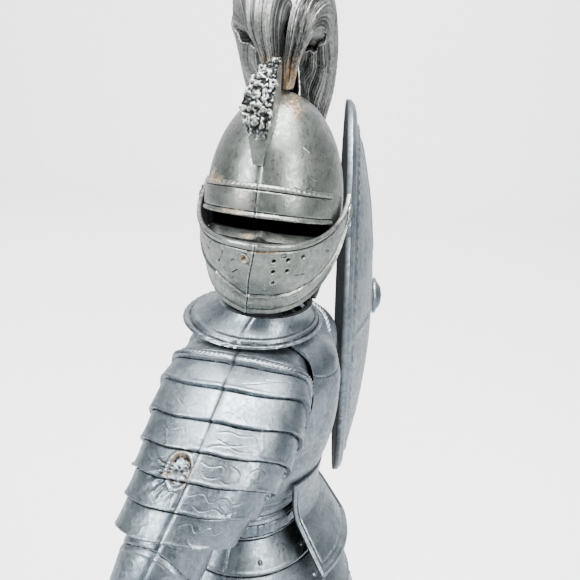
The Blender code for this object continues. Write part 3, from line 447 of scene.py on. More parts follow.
def paintFilmGroup():
    # brushed metallic paint: slow blotches of tone, brush strokes, and fine flakes that catch the light
    group, n, into, out = newGroup(
        "paintFilm",
        {"Paint": grey, "Shade": grey, "Blotch": 120.0, "Flake": 5200.0, "Base Roughness": 0.36},
        {"Colour": grey, "Roughness": 0.4, "Height": 0.0},
    )
    place = n.add("ShaderNodeTexCoord").outputs["Object"]
    blotch = n.stretch(n.noise(place, into["Blotch"], 5.0, 0.62, 0.6), 0.36, 0.66)
    small = n.stretch(n.noise(place, n.math("MULTIPLY", into["Blotch"], 7.3), 4.0, 0.6), 0.38, 0.64)
    flake = n.noise(place, into["Flake"], 1.0, 0.5)
    brushed = n.add("ShaderNodeMapping", Vector=place, Scale=(1.0, 1.0, 0.16), Rotation=(0.25, 0.4, 0.0))
    stroke = n.noise(brushed.outputs[0], 2100.0, 3.0, 0.6)
    tone = n.math("ADD", n.math("MULTIPLY", blotch, 0.62), n.math("MULTIPLY", small, 0.38))
    colour = n.mixColour(tone, into["Shade"], into["Paint"])
    spark = n.stretch(flake, 0.30, 0.72, 0.86, 1.12)
    streak = n.stretch(stroke, 0.32, 0.68, 0.93, 1.05)
    lit = n.math("MULTIPLY", spark, streak)
    colour = n.mixColour(1.0, colour, n.add("ShaderNodeCombineColor", None, _0=lit, _1=lit, _2=lit).outputs[0], "MULTIPLY")
    n.tree.links.new(colour, out["Colour"])
    rough = n.math("ADD", into["Base Roughness"], n.stretch(small, 0.0, 1.0, 0.07, -0.05))
    rough = n.math("ADD", rough, n.stretch(stroke, 0.3, 0.7, 0.05, -0.04))
    n.tree.links.new(rough, out["Roughness"])
    height = n.math("ADD", n.math("MULTIPLY", flake, 0.35), n.math("MULTIPLY", stroke, 0.65))
    n.tree.links.new(height, out["Height"])
    return group


def grimeAndShadeGroup():
    # painted shade that darkens the grooves near black, and dark dirt that thins out unevenly over the flats beside
    # them
    group, n, into, out = newGroup(
        "grimeAndShadeWash",
        {"Colour": grey, "Roughness": 0.4, "Groove": 0.0, "DirtAndShade": (0.02, 0.02, 0.02, 1.0), "Amount": 1.0},
        {"Colour": grey, "Roughness": 0.4, "Mask": 0.0},
    )
    place = n.add("ShaderNodeTexCoord").outputs["Object"]
    broken = n.stretch(n.noise(place, 900.0, 4.0, 0.6), 0.30, 0.62, 0.35, 1.25)
    # painted shade: the grooves' lines go near black; the veil is patchy dirt
    lines = n.stretch(n.math("MULTIPLY", into["Groove"], broken), 0.06, 0.38)
    veil = n.stretch(n.noise(place, 210.0, 5.0, 0.65, 0.8), 0.52, 0.80, 0.0, 0.26)
    mask = n.math("MULTIPLY", n.math("MAXIMUM", lines, veil), into["Amount"], True)
    n.tree.links.new(n.mixColour(mask, into["Colour"], into["DirtAndShade"]), out["Colour"])
    n.tree.links.new(n.mixValue(mask, into["Roughness"], 0.62), out["Roughness"])
    n.tree.links.new(mask, out["Mask"])
    return group


def wearGroup():
    # edges rubbed bright, with small chips that show the dull plastic
    group, n, into, out = newGroup(
        "edgeWear",
        {"Colour": grey, "Roughness": 0.4, "Edge": 0.0, "Bright": grey, "Bare": grey, "Amount": 1.0},
        {"Colour": grey, "Roughness": 0.4, "Chips": 0.0},
    )
    place = n.add("ShaderNodeTexCoord").outputs["Object"]
    broken = n.stretch(n.noise(place, 1300.0, 4.0, 0.6), 0.34, 0.60, 0.2, 1.2)
    rub = n.stretch(n.math("MULTIPLY", into["Edge"], broken), 0.22, 0.95)
    rub = n.math("MULTIPLY", rub, into["Amount"], True)
    chip = n.stretch(n.noise(place, 620.0, 5.0, 0.7), 0.69, 0.72)
    chip = n.math("MULTIPLY", chip, n.stretch(into["Edge"], 0.10, 0.5, 0.04, 1.0), True)
    colour = n.mixColour(rub, into["Colour"], into["Bright"])
    n.tree.links.new(n.mixColour(chip, colour, into["Bare"]), out["Colour"])
    rough = n.mixValue(rub, into["Roughness"], 0.27)
    n.tree.links.new(n.mixValue(chip, rough, 0.6), out["Roughness"])
    n.tree.links.new(chip, out["Chips"])
    return group


def glueGroup():
    # old glue: amber where thin, brown and blistered where thick
    group, n, into, out = newGroup(
        "glueStain",
        {"Colour": grey, "Roughness": 0.4, "Stain": 0.0, "Amber": (0.115, 0.055, 0.014, 1.0)},
        {"Colour": grey, "Roughness": 0.4, "Mask": 0.0},
    )
    place = n.add("ShaderNodeTexCoord").outputs["Object"]
    ragged = n.stretch(n.noise(place, 1500.0, 6.0, 0.7, 1.2), 0.34, 0.66, 0.0, 1.35)
    mask = n.stretch(n.math("MULTIPLY", into["Stain"], ragged), 0.18, 0.75)
    deep = n.stretch(n.noise(place, 2300.0, 4.0, 0.6), 0.40, 0.64)
    amber = n.mixColour(deep, into["Amber"], (0.36, 0.21, 0.075, 1.0))
    n.tree.links.new(n.mixColour(n.math("MULTIPLY", mask, 0.80), into["Colour"], amber), out["Colour"])
    n.tree.links.new(n.mixValue(mask, into["Roughness"], 0.30), out["Roughness"])
    n.tree.links.new(mask, out["Mask"])
    return group


def dustGroup():
    # pale dust that settles on whatever faces up
    group, n, into, out = newGroup(
        "dustFilm",
        {"Colour": grey, "Roughness": 0.4, "Amount": 0.2},
        {"Colour": grey, "Roughness": 0.4, "Mask": 0.0},
    )
    coordinates = n.add("ShaderNodeTexCoord")
    up = n.add("ShaderNodeSeparateXYZ", None, _0=coordinates.outputs["Normal"]).outputs[2]
    patchy = n.stretch(n.noise(coordinates.outputs["Object"], 380.0, 5.0, 0.7), 0.34, 0.70)
    mask = n.math("MULTIPLY", n.math("MULTIPLY", n.stretch(up, 0.2, 1.0), patchy), into["Amount"], True)
    n.tree.links.new(n.mixColour(mask, into["Colour"], (0.62, 0.62, 0.60, 1.0)), out["Colour"])
    n.tree.links.new(n.mixValue(mask, into["Roughness"], 0.72), out["Roughness"])
    n.tree.links.new(mask, out["Mask"])
    return group


groups = {
    "paint": paintFilmGroup(),
    "grimeAndShade": grimeAndShadeGroup(),
    "wear": wearGroup(),
    "glue": glueGroup(),
    "dust": dustGroup(),
}


# colours as linear red, green, blue
finishes = {
    "coolSilver": {
        "slot": "silver_paint",
        "paint": (0.250, 0.292, 0.322, 1.0),
        "shade": (0.112, 0.142, 0.166, 1.0),
        "bright": (0.50, 0.53, 0.55, 1.0),
        "bare": (0.10, 0.11, 0.12, 1.0),
        "metal": 0.92,
        "rough": 0.33,
        "blotch": 150.0,
        "dirtAndShade": 1.0,
        "dust": 0.10,
        "bump": 0.000030,
    },
    "warmSilver": {
        "slot": "warm_silver_paint",
        "paint": (0.270, 0.290, 0.268, 1.0),
        "shade": (0.128, 0.146, 0.130, 1.0),
        "bright": (0.52, 0.53, 0.50, 1.0),
        "bare": (0.10, 0.10, 0.09, 1.0),
        "metal": 0.92,
        "rough": 0.32,
        "blotch": 135.0,
        "dirtAndShade": 1.0,
        "dust": 0.08,
        "bump": 0.000030,
    },
    "plumePaint": {
        "slot": "plume_paint",
        "paint": (0.27, 0.28, 0.268, 1.0),
        "shade": (0.085, 0.09, 0.085, 1.0),
        "bright": (0.50, 0.50, 0.48, 1.0),
        "bare": (0.06, 0.06, 0.06, 1.0),
        "metal": 0.72,
        "rough": 0.42,
        "blotch": 260.0,
        "dirtAndShade": 1.0,
        "dust": 0.10,
        "bump": 0.000040,
    },
    "darkPlastic": {
        "slot": "bare_plastic",
        "paint": (0.075, 0.078, 0.082, 1.0),
        "shade": (0.045, 0.047, 0.050, 1.0),
        "bright": (0.14, 0.14, 0.15, 1.0),
        "bare": (0.03, 0.03, 0.03, 1.0),
        "metal": 0.1,
        "rough": 0.46,
        "blotch": 200.0,
        "dirtAndShade": 0.7,
        "dust": 0.12,
        "bump": 0.000020,
    },
    "plinthPaint": {
        "slot": "plinth_paint",
        "paint": (0.060, 0.062, 0.064, 1.0),
        "shade": (0.030, 0.031, 0.033, 1.0),
        "bright": (0.16, 0.16, 0.16, 1.0),
        "bare": (0.20, 0.20, 0.19, 1.0),
        "metal": 0.15,
        "rough": 0.44,
        "blotch": 70.0,
        "dirtAndShade": 0.8,
        "dust": 0.12,
        "bump": 0.000035,
    },
}


def finishMaterial(name, look):
    # paint film, then painted shade in the grooves with grime, rubbed edges, glue and dust, and black painted shade on
    # insides and marked hollows, all over one Principled shader
    material = bpy.data.materials.new(name)
    material.use_nodes = True
    n = Nodes(material.node_tree)
    shader = material.node_tree.nodes["Principled BSDF"]

    def mask(key):
        return n.add("ShaderNodeAttribute", {"attribute_name": key}).outputs["Fac"]

    def layer(group, **inputs):
        return n.add("ShaderNodeGroup", {"node_tree": groups[group]}, **inputs).outputs

    film = layer(
        "paint", Paint=look["paint"], Shade=look["shade"], Blotch=look["blotch"], Base_Roughness=look["rough"]
    )
    worn = layer(
        "wear",
        Colour=film["Colour"],
        Roughness=film["Roughness"],
        Edge=mask("edge"),
        Bright=look["bright"],
        Bare=look["bare"],
    )
    dirtyAndShaded = layer(
        "grimeAndShade", Colour=worn["Colour"], Roughness=worn["Roughness"], Groove=mask("groove"), Amount=look["dirtAndShade"]
    )
    glued = layer("glue", Colour=dirtyAndShaded["Colour"], Roughness=dirtyAndShaded["Roughness"], Stain=mask("stain"))
    dusty = layer("dust", Colour=glued["Colour"], Roughness=glued["Roughness"], Amount=look["dust"])
    # painted shade: insides, and the holes, hollows, creases and seam lines in the mask, go near black; the mask also
    # blackens part of the shoulder's crater
    dark = n.math("MAXIMUM", mask("inside"), mask("bare"), True)
    colour = n.mixColour(dark, dusty["Colour"], (0.012, 0.013, 0.014, 1.0))
    rough = n.mixValue(dark, dusty["Roughness"], 0.72)
    dull = n.math("MAXIMUM", glued["Mask"], n.math("MAXIMUM", worn["Chips"], dusty["Mask"]))
    metal = n.math("MULTIPLY", n.math("SUBTRACT", 1.0, dull), look["metal"], True)
    # grime, painted groove shade and black painted shade reflect as little as their colour does, or the lamps would
    # grey them
    metal = n.math("MAXIMUM", metal, n.math("MAXIMUM", dirtyAndShaded["Mask"], dark))
    bump = n.add("ShaderNodeBump", None, Height=film["Height"], Distance=look["bump"], Strength=1.0)
    for key, value in (("Base Color", colour), ("Roughness", rough), ("Metallic", metal)):
        material.node_tree.links.new(value, shader.inputs[key])
    material.node_tree.links.new(bump.outputs["Normal"], shader.inputs["Normal"])
    return material


for finishName, look in finishes.items():
    look["material"] = finishMaterial(finishName, look)
print("finishes ready:", len(finishes))


shoulder = {
    "stations": (0.0, 0.25, 0.5, 0.75, 1.0),
    "front": (0.0124, 0.0138, 0.0136, 0.0122, 0.0104),
    "thick": (0.0076, 0.0094, 0.0104, 0.0102, 0.0096),
    "tilt": (90.0, 74.0, 54.0, 37.0, 24.0),
    "out": (-0.0125, -0.0045, 0.0020, 0.0065, 0.0105),
    "up": (0.0286, 0.0266, 0.0202, 0.0134, 0.0066),
    "back": {-1: (0.0006, 0.0004, 0.0014, 0.0034, 0.0062), 1: (0.0010, 0.0010, 0.0016, 0.0028, 0.0044)},
    "chestHalfWidth": 0.0195,
    "lean": {-1: (0.43, 0.30, 0.85), 1: (0.45, 0.22, 0.865)},
    "lameEnds": (0.245, 0.362, 0.486, 0.606, 0.728, 0.856, 1.0),  # lower edge of each plate, along the sleeve
    "lameStep": 0.00072,
    "sweep": 0.17,  # how far the plates' edges ride up at the front and back
    "ropeBead": 0.00030,
    "square": 0.32,
    "rows": 400,
    "columns": 230,
}


def sleevePoints(side, station, angle, grow):
    # oval sections along the shoulder: angle 0 is the front, a quarter turn is the outer side
    at = shoulder["stations"]
    out = shoulder["chestHalfWidth"] + curveThrough(at, shoulder["out"], station)
    back = curveThrough(at, shoulder["back"][side], station)
    up = kit["waistZ"] + curveThrough(at, shoulder["up"], station)
    tilt = np.radians(curveThrough(at, shoulder["tilt"], station))
    front = curveThrough(at, shoulder["front"], station) + grow
    thick = curveThrough(at, shoulder["thick"], station) + grow
    # the section is squarer near the neck
    power = 1 - shoulder["square"] * (1 - ease(np.asarray(station) / 0.6))
    across, ahead = np.sin(angle), np.cos(angle)
    outward = thick * np.sign(across) * np.abs(across) ** power
    x = side * (out + outward * np.cos(tilt))
    y = back - front * np.sign(ahead) * np.abs(ahead) ** power
    return np.stack(np.broadcast_arrays(x, y, up + outward * np.sin(tilt)), axis=-1)


def stationOf(plate, angle):
    # the sleeve station of a point that is a share of the way down the plates, whose edges ride up at both sides
    rise = shoulder["sweep"] * np.abs(np.cos(angle)) ** 3 * (1 - plate) * np.minimum(1, plate / 0.25)
    return plate - rise


def onSleeve(side, places, count=140):
    # (plate share, angle in degrees) places as a smooth line on the shoulder's surface
    line = smoothLine(places, count)
    angle = np.radians(line[:, 1])
    return sleevePoints(side, stationOf(line[:, 0], angle), angle, shoulder["lameStep"] * 0.6)


def plateLift(plate, angle, seed):
    # each plate swells towards its lower edge and stops in a sharp step, with a rolled lip just above it
    ends = np.array(shoulder["lameEnds"])
    starts = np.concatenate([[0.0], ends[:-1]])
    ragged = 0.0016 * np.sin(angle * 7.3 + seed) + 0.0006 * np.sin(angle * 19 + 2 * seed)
    moved = plate + ragged * ease((plate - 0.3) * 4)
    which = np.clip(np.searchsorted(ends, moved), 0, len(ends) - 1)
    share = (moved - starts[which]) / (ends[which] - starts[which])
    lip = 0.00009 * bell(share - 0.91, 0.05)
    step = ease((1 - share) / 0.030)
    slot = -0.00024 * bell(share - 0.998, 0.020) - 0.00026 * bell(share - 0.010, 0.022) * (which > 0)
    return (shoulder["lameStep"] * share**1.4 + lip) * step + slot, which, share


def loops(plate, angle, size, turns):
    # nested hairpin loops, as (plate share, degrees) lines
    lines = []
    for number in range(turns):
        reach = size * (1 - 0.27 * number)
        lines.append(
            [
                (plate + 0.052 * reach, angle + 9 * reach),
                (plate - 0.015 * reach, angle + 5 * reach),
                (plate - 0.050 * reach, angle - 1 * reach),
                (plate - 0.022 * reach, angle - 6 * reach),
                (plate + 0.036 * reach, angle - 7 * reach),
            ]
        )
    return lines


# engraved lines: (share down the plates, degrees round from the front)
engravings = [
    [(0.335, 80), (0.318, 70), (0.296, 58), (0.292, 47), (0.312, 36), (0.342, 27)],
    [(0.300, 66), (0.286, 55), (0.276, 44), (0.286, 33)],
    [(0.352, 30), (0.338, 22), (0.345, 12)],
    *loops(0.432, 73, 1.0, 3),
    [(0.470, 88), (0.452, 84), (0.446, 79), (0.462, 72)],
    [(0.520, 82), (0.512, 74), (0.520, 66), (0.515, 56), (0.536, 51), (0.552, 60), (0.562, 70), (0.548, 80)],
    [(0.590, 86), (0.572, 80), (0.566, 72), (0.580, 62), (0.572, 50), (0.560, 40)],
    [(0.640, 86), (0.652, 78), (0.642, 70), (0.660, 66), (0.690, 70), (0.694, 78), (0.676, 82)],
    [(0.640, 62), (0.660, 55), (0.690, 54), (0.708, 60), (0.700, 66)],
    [(0.655, 46), (0.640, 38), (0.660, 30), (0.690, 34), (0.684, 42)],
    [(0.775, 84), (0.760, 74), (0.790, 66), (0.770, 56), (0.795, 46), (0.780, 36)],
    [(0.812, 78), (0.830, 70), (0.815, 60), (0.835, 50), (0.820, 40)],
    [(0.905, 82), (0.890, 72), (0.925, 64), (0.900, 54), (0.930, 46), (0.905, 38)],
    [(0.425, 120), (0.445, 112), (0.430, 104)],
    [(0.520, 130), (0.545, 120), (0.530, 108), (0.560, 104)],
    [(0.640, 140), (0.665, 128), (0.650, 116)],
]

shoulderRivets = [(0.40, -6), (0.52, -4), (0.64, 0), (0.76, 6), (0.30, 176), (0.44, 178), (0.58, 176), (0.72, 172)]

burn = {  # melted crater on the right shoulder, where a lump of glue came away
    "plate": 0.688,
    "angle": 99.5,
    "wide": 0.0021,
    "tall": 0.0030,
    "deep": 0.00052,
}


def burnRelief(points, side):
    # ragged oval dish with a raised lip, creases that spread from it, and melted blobs below it
    here = np.radians(burn["angle"])
    middle, alongPlate, alongAngle = (
        sleevePoints(side, np.array(burn["plate"] + dp), np.array(here + da), 0.0004)
        for dp, da in ((0, 0), (0.02, 0), (0, 0.02))
    )
    down = (alongPlate - middle) / np.linalg.norm(alongPlate - middle)
    across = alongAngle - middle
    across -= down * (across @ down)
    across /= np.linalg.norm(across)
    x = (points - middle) @ across
    y = (points - middle) @ down
    near = ease(1.6 - np.linalg.norm(points - middle, axis=-1) / 0.006)
    rough = cloud(points, 0.0011, 3, 3)
    r = np.sqrt((x / burn["wide"]) ** 2 + (y / burn["tall"]) ** 2) * (1 + 0.16 * cloud(points, 0.0022, 5, 2))
    dish = ease((1.06 - r) / 0.22)
    pits = 0.00022 * rough - 0.00026 * ease(cloud(points, 0.00075, 7, 2) * 3 - 0.25)
    height = dish * (-burn["deep"] + pits) + 0.00030 * bell(r - 1.13, 0.13) * (1 + 0.6 * rough)
    turn = np.arctan2(y, x)
    rays = np.sin(turn * 21 + 2.5 * cloud(points, 0.0016, 11, 2)) * ease((x - 0.0012) * 900) * ease((0.0085 - x) * 500)
    height += 0.00013 * rays * ease((y + 0.0012) * 900) * ease((0.0072 - y) * 400)
    melted = ease((y - 0.0024) * 600) * ease((0.0115 - y) * 400) * bell(x - 0.0004, 0.0030)
    height += melted * (0.00030 * np.abs(cloud(points, 0.0019, 13, 3)) - 0.00014 * creases(points, 0.0022, 15))
    stain = bell(r - 1.0, 0.42) * ease((1.3 - y / burn["tall"]) * 0.9) * ease(0.55 + 0.6 * cloud(points, 0.002, 21, 2))
    # the dish's upper part is drawn black, most where the rough spots stand up
    dark = dish * ease((0.60 - y / burn["tall"]) * 1.6) * ease(0.50 + 2.2 * rough)
    return height * near, np.clip(stain * near, 0, 1), np.clip(dark * near, 0, 1)


def shoulderPlates(side, name, half):
    rows, columns = shoulder["rows"], shoulder["columns"]
    angle = halfAngles(half, columns)
    plate = np.linspace(0, 1, rows)[:, None] + 0 * angle
    station = stationOf(plate, angle)
    base = sleevePoints(side, station, angle + 0 * plate, 0.0)
    core = sleevePoints(side, station, angle + 0 * plate, -0.006)
    normals = outwardNormals(base, core)
    lift, which, share = plateLift(plate, angle, side * 2 + len(half))
    hidden = ease((plate - 0.10) * 12)  # the part inside the chest stays plain
    # twisted rope along the first edge: a bead whose strands lean
    bead = shoulder["lameEnds"][0] - 0.034
    across = np.cumsum(np.linalg.norm(np.gradient(base, axis=1), axis=-1), axis=1)
    strands = np.sin((across - (plate - bead) * 0.045) / 0.000135)
    rope = shoulder["ropeBead"] * bell(plate - bead, 0.012) * (0.74 + 0.34 * strands)
    rope -= 0.00014 * (bell(plate - bead + 0.020, 0.005) + bell(plate - bead - 0.019, 0.005))
    rope -= 0.00007 * bell(plate - bead + 0.034, 0.004)
    height = lift + rope
    on = base + normals * shoulder["lameStep"] * 0.5
    for line in engravings:
        height += engraved(on, onSleeve(side, line), 0.00013, 0.000075)
    for place, turn in shoulderRivets:
        spot = onSleeve(side, [(place, turn), (place + 0.001, turn)], 2)[0]
        distance = np.linalg.norm(on - spot, axis=-1)
        height += 0.00034 * np.sqrt(np.clip(1 - (distance / 0.00055) ** 2, 0, 1)) - 0.00008 * bell(distance - 0.0007, 0.00014)
    melt = ease((plate - 0.34) * 5)
    flow = creases(base, 0.0042, 40 + side) * 0.000045 + 0.00005 * cloud(base, 0.0024, 44 + side, 3)
    height += melt * flow * (0.4 + 0.6 * share) + paintLumps(base, 60 + side)
    stain = dark = np.zeros_like(plate)
    if side < 0:
        scar, stain, dark = burnRelief(on, side)
        height += scar
    height += seamGroove(angle, half, 0.035) * (1 + 0.8 * cloud(base, 0.003, 70, 2))
    start, end, _ = halves[half]
    nearest = np.minimum(np.abs(angle - math.radians(start)), np.abs(angle - math.radians(end)))
    # painted shade: the seam line between the halves is drawn near black
    joint = bell(nearest, 0.016) * ease(0.75 + 0.9 * cloud(base, 0.004, 71, 2))
    dark = np.maximum(dark, 0.9 * joint)
    outer = base + normals * (height * hidden)[..., None]
    pick = np.ix_(np.linspace(0, rows - 1, 60).astype(int), np.linspace(0, columns - 1, 44).astype(int))
    inner = sleevePoints(side, station[pick], (angle + 0 * plate)[pick], -kit["wall"])
    shift = halfShift(half)
    masks = {"stain": stain, "bare": dark}
    mesh = shellMesh(f"{name}Pauldron{half.title()}", outer + shift, inner + shift, False, masks)
    finishPiece(mesh.name, mesh, "torso", [f"{name}_pauldron_{half}"], "coolSilver")


for side, name in ((-1, "right"), (1, "left")):
    for half in halves:
        shoulderPlates(side, name, half)
print("pauldrons done")


chest = {
    "stations": (0.0, 0.18, 0.34, 0.57, 0.75, 0.88, 0.95, 1.0),
    "side": (0.72, 0.85, 0.93, 1.0, 0.97, 0.80, 0.57, 0.44),
    "front": (0.67, 0.83, 0.94, 1.0, 0.97, 0.84, 0.62, 0.52),
    "back": (0.74, 0.85, 0.93, 1.0, 1.0, 0.92, 0.73, 0.62),
    "halfWidth": 0.0195,
    "depth": 0.0162,
    "backDepth": 0.0135,
    "height": 0.0385,
    "keel": 0.0007,
    "rows": 190,
    "columns": 250,
}


def torsoOval(share):
    return (
        chest["halfWidth"] * curveThrough(chest["stations"], chest["side"], share),
        chest["depth"] * curveThrough(chest["stations"], chest["front"], share),
        chest["backDepth"] * curveThrough(chest["stations"], chest["back"], share),
    )


def torsoPoints(share, angle, grow):
    sizes = [size + grow for size in torsoOval(share)]
    return ringPoints((0, 0, kit["waistZ"] + chest["height"] * share), *sizes, angle)


def armholeCutter(side, name):
    # the shoulder sleeve, a little larger, cuts the plates so that they meet it with a fine gap
    station = np.linspace(0, 1, 70)[:, None]
    angle = np.linspace(0, 2 * math.pi, 110, endpoint=False)[None, :]
    grid = sleevePoints(side, station + 0 * angle, angle + 0 * station, shoulder["lameStep"] + kit["gap"])
    mesh = solidMesh(name, grid)
    cutter = bpy.data.objects.new(name, mesh)
    bpy.context.scene.collection.objects.link(cutter)
    return cutter


def cutWith(mesh, cutters):
    # takes the cutters out of the mesh and returns what is left
    body = bpy.data.objects.new("uncut", mesh)
    bpy.context.scene.collection.objects.link(body)
    for cutter in cutters:
        modifier = body.modifiers.new(cutter.name, "BOOLEAN")
        modifier.operation = "DIFFERENCE"
        modifier.solver = "EXACT"
        modifier.object = cutter
    bpy.context.view_layer.update()
    graph = bpy.context.evaluated_depsgraph_get()
    done = bpy.data.meshes.new_from_object(body.evaluated_get(graph))
    done.name = mesh.name + "Cut"
    bpy.data.objects.remove(body)
    return done


def chestPlates(half, cutters):
    rows, columns = chest["rows"], chest["columns"]
    angle = halfAngles(half, columns)
    share = np.linspace(0, 1, rows)[:, None]
    whole = share + 0 * angle
    base = torsoPoints(whole, angle + 0 * share, 0.0)
    normals = outwardNormals(base, torsoPoints(whole, angle + 0 * share, -0.006))
    turn = np.degrees(angle) if half == "front" else np.degrees(angle) - 180
    height = paintLumps(base, 80 + len(half)) + seamGroove(angle, half, 0.03)
    if half == "front":
        height = height + chest["keel"] * bell(turn, 9 + 22 * (1 - share)) * ease(share * 5) * ease((1 - share) * 5)
        lines = [
            [(0.86, -38), (0.80, -26), (0.765, -12), (0.755, 0), (0.765, 12), (0.80, 26), (0.86, 38)],
            [(0.10, -80), (0.085, -40), (0.075, 0), (0.085, 40), (0.10, 80)],
            [(0.78, -52), (0.70, -57), (0.62, -56), (0.52, -52)],
            [(0.78, 52), (0.70, 57), (0.62, 56), (0.52, 52)],
        ]
        rivets = [(0.74, -50), (0.66, -53), (0.58, -51), (0.74, 50), (0.66, 53), (0.58, 51)]
    else:
        height = height - 0.0005 * bell(turn, 7) * ease(share * 5) * ease((1 - share) * 4)
        height = height + 0.0006 * (bell(turn - 30, 20) + bell(turn + 30, 20)) * bell(share - 0.66, 0.2)
        lines = [
            [(0.90, -40), (0.86, -20), (0.85, 0), (0.86, 20), (0.90, 40)],
            [(0.10, -80), (0.085, -40), (0.075, 0), (0.085, 40), (0.10, 80)],
        ]
        rivets = [(0.82, -36), (0.82, 36), (0.16, -50), (0.16, -18), (0.16, 18), (0.16, 50)]
    offset = 0 if half == "front" else 180

    def onPlate(places, count=160):
        line = smoothLine(places, count)
        return torsoPoints(line[:, 0], np.radians(line[:, 1] + offset), 0.0)

    for line in lines:
        height = height + engraved(base, onPlate(line), 0.00016, 0.00019)
    for place in rivets:
        spot = onPlate([place, (place[0] + 0.001, place[1])], 2)[0]
        distance = np.linalg.norm(base - spot, axis=-1)
        height = height + 0.00036 * np.sqrt(np.clip(1 - (distance / 0.0006) ** 2, 0, 1))
    # rolled edges at the neck and the waist
    height = height + 0.00030 * bell(share - 0.985, 0.012) + 0.00028 * bell(share - 0.015, 0.014)
    outer = base + normals * (height + 0 * share)[..., None]
    pickRow = np.linspace(0, rows - 1, 48).astype(int)
    pickColumn = np.linspace(0, columns - 1, 62).astype(int)
    inner = torsoPoints(whole[pickRow][:, pickColumn], (angle + 0 * share)[pickRow][:, pickColumn], -kit["wall"])
    name = "breastplate" if half == "front" else "backplate"
    shift = halfShift(half)
    mesh = shellMesh(f"{name}Shell", outer + shift, inner + shift)
    mesh = cutWith(mesh, cutters)
    finishPiece(f"{name}Shell", mesh, "torso", [name], "coolSilver")


cutters = [armholeCutter(-1, "rightArmhole"), armholeCutter(1, "leftArmhole")]
for half in halves:
    chestPlates(half, cutters)
for cutter in cutters:
    bpy.data.objects.remove(cutter)
print("chest done")

collar = {
    "rise": 0.0045,
    "side": 0.0138,
    "front": 0.0130,
    "rows": 90,
    "columns": 260,
}


def collarHalf(half):
    # flared collar: two beads at the lower edge with a slot between them, and a plain lip above
    angle = halfAngles(half, collar["columns"])
    share = np.linspace(0, 1, collar["rows"])[:, None]
    grow = -0.0040 * share - 0.0006 * np.sin(math.pi * share) + 0.0005 * ease((0.30 - share) * 5)
    bead = 0.00030 * bell(share - 0.06, 0.05) + 0.00022 * bell(share - 0.23, 0.045) - 0.00024 * bell(share - 0.145, 0.028)
    centre = (0.0, 0.0014 - 0.0024 * share, kit["collarZ"] + collar["rise"] * share)

    def points(extra):
        sizes = (collar["side"] + grow + extra, collar["front"] + grow + extra, collar["front"] + grow + extra)
        depth = sizes[1]
        x = sizes[0] * np.sin(angle)
        y = centre[1] - depth * np.cos(angle)
        return np.stack(np.broadcast_arrays(x, y, centre[2]), axis=-1)

    base = points(0.0)
    across = np.cumsum(np.linalg.norm(np.gradient(base, axis=1), axis=-1), axis=1)
    notches = 0.00006 * np.sin(across / 0.00034) * bell(share - 0.06, 0.05)
    height = bead + notches + paintLumps(base, 90) + seamGroove(angle, half, 0.03)
    outer = base + outwardNormals(base, points(-0.004)) * height[..., None]
    rows = np.linspace(0, collar["rows"] - 1, 16).astype(int)
    columns = np.linspace(0, collar["columns"] - 1, 60).astype(int)
    inner = points(-kit["wall"])[rows][:, columns]
    shift = halfShift(half)
    mesh = shellMesh(f"gorget{half.title()}Shell", outer + shift, inner + shift)
    finishPiece(mesh.name, mesh, "torso", [f"gorget_{half}"], "coolSilver")


for half in halves:
    collarHalf(half)

flange = {"span": 0.66, "rows": 120, "columns": 200, "thick": 0.0009}


def flangePoints(share, across, grow):
    # flared lip: follows the waist at its top, swings out below, and narrows a little downwards
    flare = curveThrough((0.0, 0.3, 0.62, 1.0), (0.0, 0.0014, 0.0052, 0.0098), share)
    z = kit["waistZ"] + 0.0075 - 0.0165 * share
    base = torsoOval(np.clip((z - kit["waistZ"]) / chest["height"], 0, 1))
    sizes = [size + flare + kit["gap"] * 1.5 + grow for size in base]
    angle = across * flange["span"] * (1 - 0.25 * share)
    x = sizes[0] * np.sin(angle)
    y = -sizes[1] * np.cos(angle)
    return np.stack(np.broadcast_arrays(x, y, z - 0.0030 * share), axis=-1)


def waistFlange():
    share = np.linspace(0, 1, flange["rows"])[:, None]
    across = np.linspace(-1, 1, flange["columns"])[None, :]
    base = flangePoints(share, across, flange["thick"] * 0.8)
    edge = np.minimum(np.minimum(1 - np.abs(across), (1 - share) * 1.3), 1)
    height = 0.00034 * bell(edge - 0.045, 0.035) - 0.00020 * bell(edge - 0.12, 0.03) + paintLumps(base, 95)
    height = height - 0.00026 * bell(across, 0.52) * bell(share - 0.62, 0.22)
    normals = outwardNormals(base, flangePoints(share, across, -0.004))
    outer = base + normals * (height * ease(share * 6) - 0.0001)[..., None]
    rows = np.linspace(0, flange["rows"] - 1, 30).astype(int)
    columns = np.linspace(0, flange["columns"] - 1, 50).astype(int)
    inner = flangePoints(share, across, 0.0)[rows][:, columns]
    mesh = shellMesh("waistFlangeShell", outer, inner)
    finishPiece("waistFlangeShell", mesh, "torso", ["waist_flange"], "coolSilver")


waistFlange()
print("collar and flange done")


helm = {
    "side": 0.0125,
    "front": 0.0150,
    "height": 0.0205,
    "neck": 0.72,
    "slant": 0.29,
    "slitHigh": -0.0024,
    "slitLow": -0.0049,
    "rows": 230,
    "columns": 190,
}


def headPoints(forward, left, up):
    # the turned head: forward is -X and its left is -Y
    forward, left, up = np.broadcast_arrays(forward, left, up)
    return np.stack([-forward, kit["neckY"] - left, up], axis=-1)


